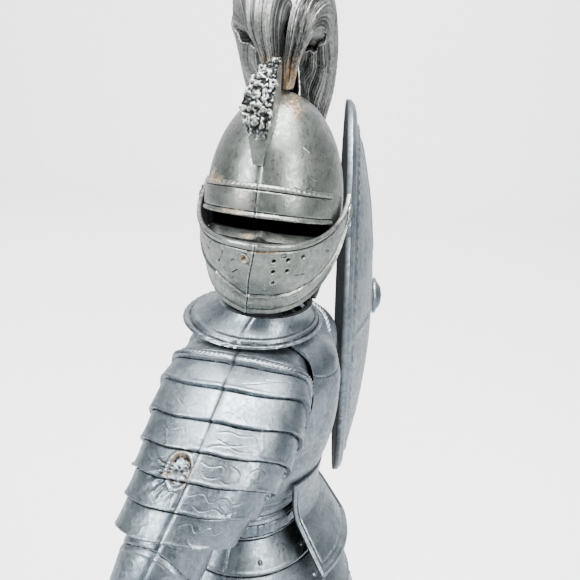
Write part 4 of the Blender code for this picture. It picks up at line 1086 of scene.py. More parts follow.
def skullPoints(share, angle, shrink):
    # quarter ellipse from the crown to the pivot's height, then a neck that draws in
    edge = ease((np.abs(angle) - 1.28) / 0.45)
    front = kit["pivotZ"] + helm["slitHigh"] + helm["slant"] * helm["front"] * np.clip(np.cos(angle), 0, 1)
    low = front + (kit["helmetZ"] - front) * edge
    neck = kit["pivotZ"] - kit["helmetZ"]
    over = np.arccos(np.clip((low - kit["pivotZ"]) / helm["height"], 0, 1)) / (math.pi / 2)
    reach = np.where(low > kit["pivotZ"], over, 1 + (kit["pivotZ"] - low) / neck)
    dome = np.clip(share * reach, 0, 1) * math.pi / 2
    below = np.clip(share * reach - 1, 0, 1)
    z = kit["pivotZ"] + (helm["height"] - shrink) * np.cos(dome) - neck * below
    scale = np.sin(dome) * (1 - (1 - helm["neck"]) * below**1.6)
    return headPoints((helm["front"] - shrink) * scale * np.cos(angle), (helm["side"] - shrink) * scale * np.sin(angle), z)


def skullScale(z):
    above = np.clip((z - kit["pivotZ"]) / helm["height"], 0, 1)
    below = np.clip((kit["pivotZ"] - z) / (kit["pivotZ"] - kit["helmetZ"]), 0, 1)
    return np.sqrt(1 - above**2) * (1 - (1 - helm["neck"]) * below**1.6)


def onDome(places, count=90):
    # (degrees down from the crown, degrees round from the face) places as a line on the dome
    line = np.radians(smoothLine(places, count))
    z = kit["pivotZ"] + helm["height"] * np.cos(line[:, 0])
    return headPoints(
        helm["front"] * np.sin(line[:, 0]) * np.cos(line[:, 1]), helm["side"] * np.sin(line[:, 0]) * np.sin(line[:, 1]), z
    )


domeScratches = [
    [(58, 76), (62, 71), (66, 66), (69, 60)],
    [(54, 66), (60, 68), (64, 74)],
    [(66, 44), (68, 50), (67, 57)],
    [(50, 40), (53, 46)],
    [(62, -60), (66, -56), (71, -58)],
    [(40, -50), (46, -47)],
    [(70, 30), (72, 38), (71, 45)],
    [(40, 140), (52, 146), (60, 143)],
    [(60, -130), (66, -122)],
]

# glue on the dome: (degrees down, degrees round, size, strength)
domeGlue = [
    (73, -52, 0.0019, 1.0),
    (73, -40, 0.0017, 0.9),
    (74, -30, 0.0013, 0.7),
    (21, 44, 0.0024, 1.0),
    (12, 70, 0.0022, 0.9),
    (30, 40, 0.0014, 0.6),
]


def skullHalf(side, name):
    rows, columns = helm["rows"], helm["columns"]
    angle = side * np.linspace(0, math.pi, columns)[None, :]
    share = np.linspace(0, 1, rows)[:, None]
    base = skullPoints(share, angle, 0.0)
    normals = outwardNormals(base, skullPoints(share, angle, 0.006))
    height = paintLumps(base, 100 + side, 0.9) + 0 * share
    for line in domeScratches:
        height = height + engraved(base, onDome(line), 0.00009, 0.00011)
    nearest = np.minimum(np.abs(angle), np.abs(np.abs(angle) - math.pi))
    height = height - 0.00015 * bell(nearest * np.linalg.norm(base[..., :2], axis=-1) / 0.012, 0.022)
    behind = ease((np.abs(angle) - 1.7) * 6)
    height = height + behind * (0.00028 * bell(share - 0.975, 0.016) - 0.00016 * bell(share - 0.925, 0.012))
    height = height + behind * 0.00018 * bell(share - 0.66, 0.008)
    stain = np.zeros_like(height)
    for down, turn, size, strength in domeGlue:
        spot = onDome([(down, turn), (down + 0.5, turn)], 2)[0]
        stain = np.maximum(stain, strength * bell(np.linalg.norm(base - spot, axis=-1), size))
    height = height + 0.00014 * ease(stain * 1.6 - 0.4) * (1 + cloud(base, 0.0006, 104, 2))
    outer = base + normals * height[..., None]
    pickRow = np.linspace(0, rows - 1, 58).astype(int)
    pickColumn = np.linspace(0, columns - 1, 48).astype(int)
    inner = skullPoints(share[pickRow], angle[:, pickColumn], kit["wall"])
    shift = np.array([0.0, -side * kit["seam"] / 2, 0.0])
    mesh = shellMesh(f"helmet{name}", outer + shift, inner + shift, False, {"stain": stain})
    mergePoles(mesh)
    finishPiece(mesh.name, mesh, "head", [f"helmet_{name.lower()}"], "warmSilver")


for side, name in ((1, "Left"), (-1, "Right")):
    skullHalf(side, name)

brow = {"span": 1.18, "low": -0.0024, "high": 0.0032, "rows": 110, "columns": 360}


def browPoints(share, angle, lift):
    rise = helm["slant"] * helm["front"] * np.cos(angle)
    z = kit["pivotZ"] + brow["low"] + (brow["high"] - brow["low"]) * share + rise
    scale = skullScale(z)
    forward = (helm["front"] * scale + lift) * np.cos(angle)
    left = (helm["side"] * scale + lift * (0.2 + 0.8 * np.abs(np.cos(angle)))) * np.sin(angle)
    return headPoints(forward, left, z)


def browBand():
    # flat band with a beaded line along the top and a rolled lip over the sight slit
    angle = np.linspace(-brow["span"], brow["span"], brow["columns"])[None, :]
    share = np.linspace(0, 1, brow["rows"])[:, None]
    base = browPoints(share, angle, 0.00062)
    across = np.cumsum(np.linalg.norm(np.gradient(base, axis=1), axis=-1), axis=1)
    beads = 0.88 + 0.12 * np.sin(across / 0.00016) + 0.25 * cloud(base, 0.0012, 112, 2)
    height = 0.00026 * bell(share - 0.93, 0.055) * beads - 0.00016 * bell(share - 0.83, 0.03)
    height = height + 0.00026 * bell(share - 0.05, 0.06) * (0.9 + 0.2 * cloud(base, 0.002, 113, 2))
    height = height - 0.00014 * bell(share - 0.16, 0.035) + paintLumps(base, 114)
    height = height - 0.00012 * bell(np.degrees(angle), 0.9) + 0.00010 * bell(np.degrees(angle) - 1.6, 0.8)
    normals = outwardNormals(base, browPoints(share, angle, -0.004))
    outer = base + normals * (height + 0 * share)[..., None]
    turn = np.degrees(angle) + 0 * share
    stain = bell(turn + 48, 22) * bell(share - 0.98, 0.16) + 0.8 * bell(turn + 20, 13) * bell(share - 0.08, 0.12)
    stain = stain + 0.55 * bell(turn + 10, 9) * bell(share - 0.55, 0.35)
    rows = np.linspace(0, brow["rows"] - 1, 14).astype(int)
    columns = np.linspace(0, brow["columns"] - 1, 90).astype(int)
    inner = browPoints(share[rows], angle[:, columns], 0.00022)
    mesh = shellMesh("browBand", outer, inner, False, {"stain": np.clip(stain, 0, 1)})
    finishPiece("browBand", mesh, "head", ["brow_band"], "warmSilver")


browBand()

visor = {
    "stations": (0.0, 0.06, 0.14, 0.5, 0.8, 0.86, 1.0),
    "shrink": (0.0, 0.0, 0.022, 0.10, 0.25, 0.262, 0.345),
    "reach": 0.0178,
    "gap": 0.0006,
    "span": 1.66,
    "thick": 0.00084,
    "holeRadius": 0.00046,
    "rows": 240,
    "columns": 340,
}
# breath holes: (share down the visor, degrees round from the face)
breathHoles = [(0.205, 18.8), (0.198, 29.2), (0.195, 40.6), (0.348, 18.9), (0.348, 29.2), (0.503, 19.2)]
chinLine = [(-95, 0.56), (-60, 0.50), (-32, 0.52), (-16, 0.63), (-2, 0.712), (21, 0.725), (44, 0.70), (68, 0.72), (95, 0.74)]


def visorPoints(share, angle, grow):
    # between a rim that rises to the pivots and a chin line, drawn in towards the neck, with a keel in front
    outwards = (np.abs(angle) / visor["span"]) ** 2.6
    top = kit["pivotZ"] - 0.0068 + 0.0098 * outwards + helm["slant"] * visor["reach"] * np.maximum(0, np.cos(angle))
    low = kit["helmetZ"] + 0.0019 + 0.0135 * (np.abs(angle) / visor["span"]) ** 3
    z = top + (low - top) * share
    shrink = curveThrough(visor["stations"], visor["shrink"], share)
    forward = (visor["reach"] * (1 - shrink) + grow) * np.cos(angle)
    side = helm["side"] * skullScale(np.minimum(z, kit["pivotZ"])) + visor["gap"] + grow * 0.6
    return headPoints(forward, side * np.sin(angle), z)


def visorPlate():
    rows, columns = visor["rows"], visor["columns"]
    # columns stand closer together across the face
    even = np.linspace(-1, 1, columns)
    angle = (visor["span"] * (0.62 * even + 0.38 * even**3))[None, :]
    share = np.linspace(0, 1, rows)[:, None]
    base = visorPoints(share + 0 * angle, angle + 0 * share, visor["thick"])
    normals = outwardNormals(base, visorPoints(share + 0 * angle, angle + 0 * share, -0.004))
    turn = np.degrees(angle) + 0 * share
    height = paintLumps(base, 120, 1.0)
    # rolled rim under the slit, with a fine line below it
    height += 0.00030 * bell(share - 0.022, 0.030) - 0.00015 * bell(share - 0.082, 0.012) + 0.00006 * bell(share - 0.105, 0.010)
    line = np.interp(turn, *zip(*chinLine))
    wander = 0.004 * np.sin(turn / 3.1)
    below = share - line + wander
    height += 0.00024 * bell(below - 0.012, 0.011) - 0.00018 * bell(below + 0.012, 0.008) + 0.00012 * ease(below * 40)
    height += 0.00028 * bell(share - 0.975, 0.022) - 0.00012 * bell(share - 0.93, 0.012)
    keel = turn - (5.5 - 11 * share)
    height += 0.00028 * bell(keel, 9) + 0.00010 * bell(keel + 0.8, 0.9) - 0.00017 * bell(keel, 0.55)
    stain = 0.95 * bell(turn - 14, 13) * bell(share - 0.092, 0.022)
    holes = np.zeros_like(turn)
    for down, around in breathHoles:
        spot = visorPoints(np.array(down), np.array(math.radians(around)), visor["thick"])
        distance = np.linalg.norm(base - spot, axis=-1)
        r = visor["holeRadius"] * (1 + 0.10 * cloud(base, 0.0006, 126, 1))
        height -= 0.00058 * ease((r - distance) / 0.00022)
        height += 0.00007 * bell(distance - r - 0.00012, 0.00014)
        holes = np.maximum(holes, ease((r * 0.8 - distance) / 0.00022))
    spot = visorPoints(np.array(0.195), np.array(math.radians(-3.4)), visor["thick"])
    distance = np.linalg.norm(base - spot, axis=-1) * (1 + 0.25 * cloud(base, 0.0008, 131, 2))
    height += 0.00016 * bell(distance - 0.00075, 0.00020) - 0.00020 * bell(distance, 0.00045)
    stain = np.maximum(stain, 0.75 * bell(distance - 0.0004, 0.0007))
    scratches = [
        [(0.17, -22), (0.26, -24), (0.33, -27)],
        [(0.36, -9), (0.42, -14)],
        [(0.24, -12), (0.27, -15)],
        [(0.55, -6), (0.60, -3)],
        [(0.10, -34), (0.17, -37)],
        [(0.44, 36), (0.47, 44)],
        [(0.62, 8), (0.65, 15)],
        [(0.30, 62), (0.38, 66)],
    ]
    for places in scratches:
        path = smoothLine(places, 60)
        height += engraved(base, visorPoints(path[:, 0], np.radians(path[:, 1]), visor["thick"]), 0.00010, 0.00013)
    pits = ease(cloud(base, 0.0013, 133, 1) * 6 - 3.6)
    height -= 0.00008 * pits
    outer = base + normals * height[..., None]
    pickRow = np.linspace(0, rows - 1, 60).astype(int)
    pickColumn = np.linspace(0, columns - 1, 86).astype(int)
    inner = visorPoints(share[pickRow] + 0 * angle[:, pickColumn], angle[:, pickColumn] + 0 * share[pickRow], 0.0)
    # painted shade: the breath holes are only shallow dents, drawn black as if seen through
    masks = {"stain": np.clip(stain, 0, 1), "bare": 0.9 * holes}
    mesh = shellMesh("visorPlate", outer, inner, False, masks)
    finishPiece("visorPlate", mesh, "visor", ["visor_plate"], "warmSilver")


visorPlate()

ledge = {"span": 1.22, "rows": 60, "columns": 260}


def faceLedge():
    # slanting sill below the slit, with a keel in the middle; its back edge is painted black as the shade inside the
    # slit
    angle = np.linspace(-ledge["span"], ledge["span"], ledge["columns"])[None, :]
    share = np.linspace(0, 1, ledge["rows"])[:, None]

    def points(drop, shrink):
        front = helm["front"] - 0.0010 + (visor["reach"] - 0.0001 - helm["front"]) * share - shrink
        side = helm["side"] - 0.0012 + 0.0006 * share - shrink
        z = kit["pivotZ"] + helm["slitLow"] - 0.0016 * share + helm["slant"] * front * np.cos(angle) - drop
        return headPoints(front * np.cos(angle), side * np.sin(angle), z)

    base = points(0.0, 0.0)
    keel = 0.00075 * bell(np.degrees(angle) - 7, 4.0) * ease(share * 2.2)
    base[..., 2] += keel + paintLumps(base, 140) * 0.8
    turn = np.degrees(angle) + 0 * share
    stain = 0.9 * bell(turn + 4, 9) * bell(share - 0.7, 0.3)
    # painted shade: the sill's back edge goes black where the slit's shade would be
    dark = ease((0.22 + 0.1 * cloud(base, 0.004, 143, 2) - 0.25 * bell(turn - 7, 6) - share) * 6)
    inner = points(0.0010, 0.0004)[np.linspace(0, 59, 12).astype(int)][:, np.linspace(0, 259, 66).astype(int)]
    mesh = shellMesh("faceLedge", base, inner, False, {"stain": stain, "bare": dark})
    finishPiece("faceLedge", mesh, "head", ["face_guard"], "warmSilver")


faceLedge()

pin = {"radius": 0.0016}


def visorPin(side, name):
    # flat-headed pin with a raised ring and a slot across it
    seat = helm["side"] + visor["gap"] + 0.000504 + 0.00012 + kit["gap"]
    place = frameAlong((0, kit["neckY"] - side * seat, kit["pivotZ"]), (0, -side, 0))
    profile = [(0, 0.0005), (0.00075, 0.00050), (0.0010, 0.0004), (pin["radius"], 0.00022), (pin["radius"], 0), (0, 0)]

    def relief(angle, radius, height):
        slot = bell(radius * np.cos(angle), 0.00016) * ease((0.0011 - radius) * 4000)
        return -0.00014 * slot * (height > 0.0003) + 0.00002 * np.sin(angle * 9)

    mesh = turnedMesh(f"visorPin{name}", profile, place, 64, relief, 0.00012)
    finishPiece(mesh.name, mesh, "visor", [f"visor_pin_{name.lower()}"], "warmSilver")


for side, name in ((1, "Left"), (-1, "Right")):
    visorPin(side, name)

crest = {
    "stations": (0.0, 0.18, 0.4, 0.62, 0.82, 1.0),
    "widths": (0.0011, 0.0019, 0.0031, 0.0028, 0.0018, 0.0007),
    "heights": (0.0008, 0.0030, 0.0056, 0.0072, 0.0074, 0.0058),
    "from": 30,
    "sweep": 52,
    "rows": 240,
    "columns": 200,
}


def crestFin():
    # fin up the forehead: its broad front is crumpled, with black painted shade in the crumple's hollows; its sides are
    # smooth
    station = np.linspace(0, 1, crest["rows"])[:, None]
    width = curveThrough(crest["stations"], crest["widths"], station)
    tall = curveThrough(crest["stations"], crest["heights"], station)
    angle = np.radians(crest["from"] + crest["sweep"] * station)
    foot = np.stack([helm["front"] * np.cos(angle), helm["height"] * np.sin(angle)], -1)
    normal = np.stack([np.cos(angle) / helm["front"], np.sin(angle) / helm["height"]], -1)
    normal /= np.linalg.norm(normal, axis=-1, keepdims=True)
    # round the section: up the left side, over the crown of the fin, down the right side, and back along the foot
    t = np.linspace(0, 1, crest["columns"], endpoint=False)[None, :]
    corners = np.array([(0.0, -0.8, 0.0), (0.34, -1.0, 1.0), (0.50, 0.0, 1.08), (0.66, 1.0, 1.0), (0.92, 0.8, 0.0), (1.0, -0.8, 0.0)])
    side = np.interp(t, corners[:, 0], corners[:, 1])
    # one edge runs straight, the other juts out in a corner below the middle
    side = np.where(side > 0, side * 0.52, side * (1.02 + 0.22 * bell(station - 0.42, 0.10)))
    up = np.interp(t, corners[:, 0], corners[:, 2])
    rise = kit["gap"] * 0.9 + up * tall
    point = foot + normal * rise[..., None]
    grid = headPoints(point[..., 0], side * width, kit["pivotZ"] + point[..., 1])
    front = ease((up - 0.86) * 9) * ease((station - 0.17) * 9)
    crumple = 2.0 * np.abs(cloud(grid, 0.0015, 151, 3)) - 0.50 + 0.55 * cloud(grid, 0.0008, 153, 2)
    out = outwardNormals(grid, headPoints(foot[..., 0] + 0 * t, 0 * t, kit["pivotZ"] + foot[..., 1] + 0 * t))
    grid = grid + out * (front * 0.00055 * crumple + (1 - front) * 0.00004 * cloud(grid, 0.002, 155, 2) * ease(up * 3))[..., None]
    # painted shade: black where the crumple sinks in
    black = front * ease((-0.12 - crumple) * 5)
    stain = bell(station - 0.97, 0.22) * (1 - front)
    mesh = solidMesh("crestFin", grid, {"bare": black * 0.92, "stain": 0.8 * stain})
    finishPiece("crestFin", mesh, "head", ["crest_fin"], "warmSilver", 0.0004)


crestFin()
print("helmet done")


plinth = {"width": 0.092, "depth": 0.076, "height": 0.007, "corner": 0.014}


def plinthRing(inset, columns):
    # rounded rectangle drawn in by the inset: four quarter turns about corner centres that stay put
    angle = np.linspace(0, 2 * math.pi, columns, endpoint=False) + 1e-4
    radius = max(plinth["corner"] - inset, 0.0)
    pull = min(1.0, max(0.0, 1 - (inset - plinth["corner"]) / 0.024))
    x = np.sign(np.cos(angle)) * (plinth["width"] / 2 - plinth["corner"]) * pull + radius * np.cos(angle)
    y = np.sign(np.sin(angle)) * (plinth["depth"] / 2 - plinth["corner"]) * pull + radius * np.sin(angle)
    return np.stack([x, y], -1)


def makePlinth():
    # low block: rounded upper edge, a shallow groove round the top, and a plain underside
    top = plinth["height"]
    profile = [(0.037, 0.0), (0.0030, 0.0), (0.0008, 0.0), (0.0002, 0.0002), (0.0, 0.0008), (0.0, top - 0.0026)]
    profile += [(0.0004, top - 0.0023), (0.0004, top - 0.0020), (0.0, top - 0.0017), (0.00005, top - 0.0009)]
    profile += [(0.0003, top - 0.0004), (0.0008, top - 0.00008), (0.0014, top), (0.0040, top), (0.0042, top - 0.0004)]
    profile += [(0.0046, top - 0.0004), (0.0048, top), (0.010, top), (0.0139, top), (0.020, top), (0.028, top), (0.037, top)]
    grid = np.stack([np.concatenate([plinthRing(inset, 144), np.full((144, 1), z)], 1) for inset, z in profile])
    mesh = solidMesh("plinthBlock", grid)
    finishPiece("plinthBlock", mesh, "stand", ["base_plinth"], "plinthPaint", 0.0004, 30)


makePlinth()

leg = {
    "stations": (0.0, 0.10, 0.28, 0.38, 0.47, 0.56, 0.66, 0.82, 1.0),
    "swell": (0.0, 0.06, 0.62, 0.66, 0.42, 0.46, 0.62, 0.88, 1.0),
    "lean": (0.0, 0.0016, 0.0030, 0.0022, -0.0016, -0.0022, -0.0012, 0.0, 0.0006),
    "ankleZ": 0.0148,
    "stance": 0.0155,
    "hipSpread": 0.0108,
    "thigh": 0.0096,
    "ankle": 0.0052,
    "footY": -0.004,
    "lames": (0.60, 0.68, 0.76, 0.84, 0.92),
}


def legPoints(side, part, angle, grow):
    # round sections up the leg, whose middle leans back at the calf and forward at the knee
    x = side * (leg["stance"] + (leg["hipSpread"] - leg["stance"]) * part)
    y = curveThrough(leg["stations"], leg["lean"], part) + leg["footY"] * side * (1 - part)
    z = leg["ankleZ"] + (kit["thighZ"] - leg["ankleZ"]) * part
    radius = leg["ankle"] + (leg["thigh"] - leg["ankle"]) * curveThrough(leg["stations"], leg["swell"], part) + grow
    return np.stack(np.broadcast_arrays(x + radius * np.sin(angle), y - radius * np.cos(angle), z), -1)


def legHalf(side, name, half):
    angle = halfAngles(half, 90)
    part = np.linspace(0, 1, 420)[:, None]
    base = legPoints(side, part, angle, 0.0)
    height = paintLumps(base, 200 + side) + seamGroove(angle, half, 0.06)
    for edge in leg["lames"]:
        # each thigh plate stands proud of the one below it
        height = height + 0.00034 * ease((edge + 0.066 - part) * 30) * ease((part - edge) * 400)
        height = height - 0.00012 * bell(part - edge, 0.004) + 0.00008 * bell(part - edge - 0.008, 0.004)
    height = height + 0.0003 * bell(part - 0.035, 0.012) - 0.00015 * bell(part - 0.062, 0.006)
    height = height + 0.00022 * bell(part - 0.405, 0.008) - 0.00014 * bell(part - 0.388, 0.005)
    if half == "front":
        height = height + 0.0005 * bell(angle, 0.16) * ease((part - 0.08) * 12) * ease((0.38 - part) * 12)
        for turn in (-0.42, 0.42):
            height = height - 0.00011 * bell(angle - turn * (1 - 0.6 * part), 0.022) * ease((part - 0.08) * 20) * ease((0.37 - part) * 20)
    normals = outwardNormals(base, legPoints(side, part, angle, -0.003))
    outer = base + normals * (height - 0.0001)[..., None]
    rows = np.linspace(0, 419, 60).astype(int)
    inner = legPoints(side, part[rows], halfAngles(half, 24), -kit["wall"])
    mesh = shellMesh(f"{name}Leg{half.title()}", outer + halfShift(half), inner + halfShift(half))
    finishPiece(mesh.name, mesh, "stand", [f"{name}_leg_{half}"], "coolSilver")


def kneeCop(side, name):
    # domed cap with a ridge down its middle and a rolled border
    tall = np.linspace(-1, 1, 110)[:, None]
    angle = np.linspace(-1.25, 1.25, 150)[None, :]
    part = 0.475 + 0.0068 * tall / (kit["thighZ"] - leg["ankleZ"])
    inner = legPoints(side, part + 0 * angle, angle + 0 * tall, 2 * kit["gap"])
    bulge = np.sqrt(1 - 0.75 * tall**2)
    out = inner - legPoints(side, part + 0 * angle, angle + 0 * tall, -0.003)
    out /= np.linalg.norm(out, axis=-1, keepdims=True)
    thick = np.sqrt((0.0024 * np.sin(angle)) ** 2 + (0.0034 * np.cos(angle)) ** 2) * bulge
    edge = np.minimum((1 - np.abs(tall)) * 1.4, 1 - np.abs(angle) / 1.25)
    height = thick + 0.0003 * bell(angle, 0.09) * ease(1.2 - np.abs(tall)) + 0.0002 * bell(edge - 0.06, 0.05)
    height = height - 0.00016 * bell(edge - 0.20, 0.03) + paintLumps(inner, 210 + side)
    height = height - 0.0002 * bell(np.abs(tall) - 0.42, 0.035)
    outer = inner + out * np.maximum(height - 0.0001, 0.0004)[..., None]
    pick = np.ix_(np.linspace(0, 109, 30).astype(int), np.linspace(0, 149, 40).astype(int))
    mesh = shellMesh(f"{name}KneeCop", outer, inner[pick])
    finishPiece(mesh.name, mesh, "stand", [f"{name}_knee_cop"], "coolSilver")


foot = {"length": 0.030, "width": 0.0112, "height": 0.0072}


def makeFoot(side, name):
    # pointed shoe: arched sections from heel to toe on a flat sole, overlapped by narrow plates
    station = np.linspace(0, 1, 260)[:, None]
    wide = curveThrough((0, 0.15, 0.45, 0.65, 0.85, 1.0), (0.30, 0.72, 0.86, 1.0, 0.66, 0.10), station)
    high = curveThrough((0, 0.15, 0.35, 0.6, 0.85, 1.0), (0.55, 1.0, 0.98, 0.66, 0.42, 0.22), station)
    turn = np.linspace(0, math.pi, 60)[None, :]
    step = np.mod(station * 9.0, 1.0)
    relief = 0.00026 * (step**1.5 - 0.4) * ease((station - 0.30) * 14) * ease((0.93 - station) * 16)
    relief = relief - 0.00016 * bell(station - 0.28, 0.010) + 0.0003 * bell(station - 0.255, 0.010)
    half = foot["width"] / 2 * wide
    top = foot["height"] * high
    across = (half + relief) * np.cos(turn)
    up = top * 0.25 + (top * 0.75 + relief) * np.sin(turn)
    sole = np.linspace(-0.9, 0.9, 12)[None, :]
    across = np.concatenate([across, half * sole], 1)
    up = np.concatenate([np.clip(up, 0.0, foot["height"]), np.zeros((260, 12))], 1)
    y0 = leg["footY"] * side
    forward = y0 + foot["length"] * 0.30 - foot["length"] * station
    swing = math.radians(12) * side
    x = side * leg["stance"] + across * math.cos(swing) - (forward - y0) * math.sin(swing)
    y = y0 + (forward - y0) * math.cos(swing) + across * math.sin(swing)
    grid = np.stack(np.broadcast_arrays(x, y, kit["soleZ"] + up), -1)
    mesh = solidMesh(f"{name}Shoe", grid)
    finishPiece(mesh.name, mesh, "stand", [f"{name}_foot"], "coolSilver")


skirt = {"side": 0.0262, "front": 0.0255, "drop": 0.0295, "hoops": 5, "step": 0.0007, "back": 0.88}


def beltOval(grow):
    return (
        chest["halfWidth"] * 0.72 + grow,
        chest["depth"] * 0.67 + grow,
        chest["backDepth"] * 0.74 + grow,
    )


def skirtOval(share):
    spread = curveThrough((0.0, 0.25, 0.55, 1.0), (0.0, 0.36, 0.76, 1.0), share)
    hem = (skirt["side"], skirt["front"], skirt["side"] * skirt["back"])
    return [size + (end - size) * spread for size, end in zip(beltOval(0.0), hem)]


def skirtPoints(share, angle, grow):
    z = kit["beltZ"] - kit["gap"] - skirt["drop"] * share
    return ringPoints((0, 0, z), *(size + grow for size in skirtOval(share)), angle)


def skirtHalf(half):
    # five hoops, each swelling towards its lower edge, where a rolled lip and a dark step show
    share = np.linspace(0, 1, 300)[:, None]
    angle = halfAngles(half, 280)
    base = skirtPoints(share, angle, 0.0)
    hoop = np.mod(share * skirt["hoops"], 1.0)
    last = share > 1 - 1 / skirt["hoops"]
    drop = np.where(last, 1.0, ease((1 - hoop) / 0.05))
    height = (skirt["step"] * hoop**1.3 + 0.00016 * bell(hoop - 0.90, 0.05)) * drop
    height = height - 0.00024 * bell(hoop - 0.01, 0.03) * (share > 0.1) + paintLumps(base, 230 + len(half), 1.3)
    height = height + seamGroove(angle, half, 0.02)
    turn = np.degrees(angle) if half == "front" else np.degrees(angle) - 180
    for place in (-62, -22, 22, 62):
        spots = np.hypot((turn - place) * 0.00042, (hoop - 0.62) * 0.0059)
        height = height + 0.00030 * np.sqrt(np.clip(1 - (spots / 0.0005) ** 2, 0, 1))
    normals = outwardNormals(base, skirtPoints(share, angle, -0.004))
    outer = base + normals * height[..., None]
    rows = np.linspace(0, 299, 40).astype(int)
    inner = skirtPoints(share[rows], halfAngles(half, 60), -kit["wall"])
    mesh = shellMesh(f"skirt{half.title()}", outer + halfShift(half), inner + halfShift(half))
    finishPiece(mesh.name, mesh, "stand", [f"skirt_{half}"], "coolSilver")


def waistBelt():
    # belt with two cords of beading and a row of small square studs
    share = np.linspace(0, 1, 70)[:, None]
    angle = np.linspace(0, 2 * math.pi, 420, endpoint=False)[None, :]

    def points(at, around, grow):
        return ringPoints((0, 0, kit["beltZ"] + 0.0052 * at), *beltOval(grow), around)

    grow = 0.0009 * ease(share * 5) * ease((1 - share) * 5)
    stud = ease((np.cos(angle * 24) - 0.2) * 2.5) * ease((0.30 - np.abs(share - 0.5)) * 12)
    relief = 0.0002 * (bell(share - 0.12, 0.06) + bell(share - 0.88, 0.06)) * (0.8 + 0.25 * np.sin(angle * 150))
    relief = relief - 0.00014 * (bell(share - 0.24, 0.03) + bell(share - 0.76, 0.03)) + 0.0002 * stud
    base = points(share, angle, grow)
    normals = outwardNormals(base, points(share, angle, -0.004))
    outer = base + normals * (relief + paintLumps(base, 240) - 0.0001)[..., None]
    rows = np.linspace(0, 1, 10)[:, None]
    inner = points(rows, np.linspace(0, 2 * math.pi, 84, endpoint=False)[None, :], -kit["wall"] + 0 * rows)
    mesh = shellMesh("waistBeltShell", outer, inner, True)
    finishPiece("waistBeltShell", mesh, "stand", ["waist_belt"], "coolSilver")


def tassetPlate(side, name):
    # shield-shaped thigh plate with a raised border and three rivets along the top
    share = np.linspace(0, 1, 120)[:, None]
    across = np.linspace(-1, 1, 130)[None, :]
    hem = kit["beltZ"] - skirt["drop"] - 2 * kit["gap"]
    spread = side * (0.54 + 0.44 * across * (1 - 0.45 * share**2))

    def points(grow):
        sizes = [size + skirt["step"] - 0.0035 * share + grow for size in skirtOval(np.array(1.0))]
        return ringPoints((0, 0, hem - 0.0165 * share), *sizes, spread)

    edge = np.minimum(1 - np.abs(across), np.minimum(share, 1 - share) * 1.6)
    base = points(0.0)
    relief = 0.00030 * bell(edge - 0.06, 0.05) - 0.00018 * bell(edge - 0.17, 0.03) + paintLumps(base, 250 + side)
    for place in (-0.6, 0.0, 0.6):
        distance = np.hypot((across - place) * 0.0105, (share - 0.16) * 0.0165)
        relief = relief + 0.0003 * np.sqrt(np.clip(1 - (distance / 0.0006) ** 2, 0, 1))
    relief = relief + 0.0003 * bell(across, 0.10) * ease((share - 0.3) * 5) * ease((0.9 - share) * 8)
    outer = base + outwardNormals(base, points(-0.004)) * (relief - 0.0001)[..., None]
    pick = np.ix_(np.linspace(0, 119, 26).astype(int), np.linspace(0, 129, 34).astype(int))
    mesh = shellMesh(f"{name}Tasset", outer, points(-kit["wall"])[pick])
    finishPiece(mesh.name, mesh, "stand", [f"{name}_tasset"], "coolSilver")


for side, name in ((-1, "right"), (1, "left")):
    for half in halves:
        legHalf(side, name, half)
    kneeCop(side, name)
    makeFoot(side, name)
    tassetPlate(side, name)
for half in halves:
    skirtHalf(half)
waistBelt()
print("stand, legs and skirt done")

arm = {
    "radius": 0.0079,
    "upper": 0.0165,
    "stations": (0.0045, 0.0, -0.005, -0.0105, -0.0165),
    "radii": (0.93, 0.97, 1.0, 0.93, 0.80),
    "elbow": 0.0060,
    "forearm": 0.0225,
    "reach": {-1: (-0.04, -0.82, -0.57), 1: (0.83, -0.31, 0.46)},
    "hold": {-1: (-0.02, 0.10, 1.0), 1: (0.0, 0.0, 1.0)},
}


def shoulderEnd(side):
    # middle of the sleeve's mouth, and the way the arm runs from it
    out, back, down = shoulder["lean"][side]
    end = Vector(
        (
            side * (shoulder["chestHalfWidth"] + shoulder["out"][-1]),
            shoulder["back"][side][-1],
            kit["waistZ"] + shoulder["up"][-1],
        )
    )
    return end, Vector((side * out, back, -down)).normalized()


def armPoints(side, station, angle, grow):
    # round sections along the arm; angle 0 looks the way the chest does
    end, along = shoulderEnd(side)
    axis = np.array(along)
    ahead = np.array([0.0, -1.0, 0.0]) - axis * (-axis[1])
    ahead /= np.linalg.norm(ahead)
    over = np.cross(axis, ahead)
    radius = curveThrough(arm["stations"][::-1], arm["radii"][::-1], station) * arm["radius"] + grow
    place = np.array(end) - axis * np.asarray(station)[..., None]
    return place + ahead * (radius * np.cos(angle))[..., None] + over * (radius * np.sin(angle))[..., None], ahead


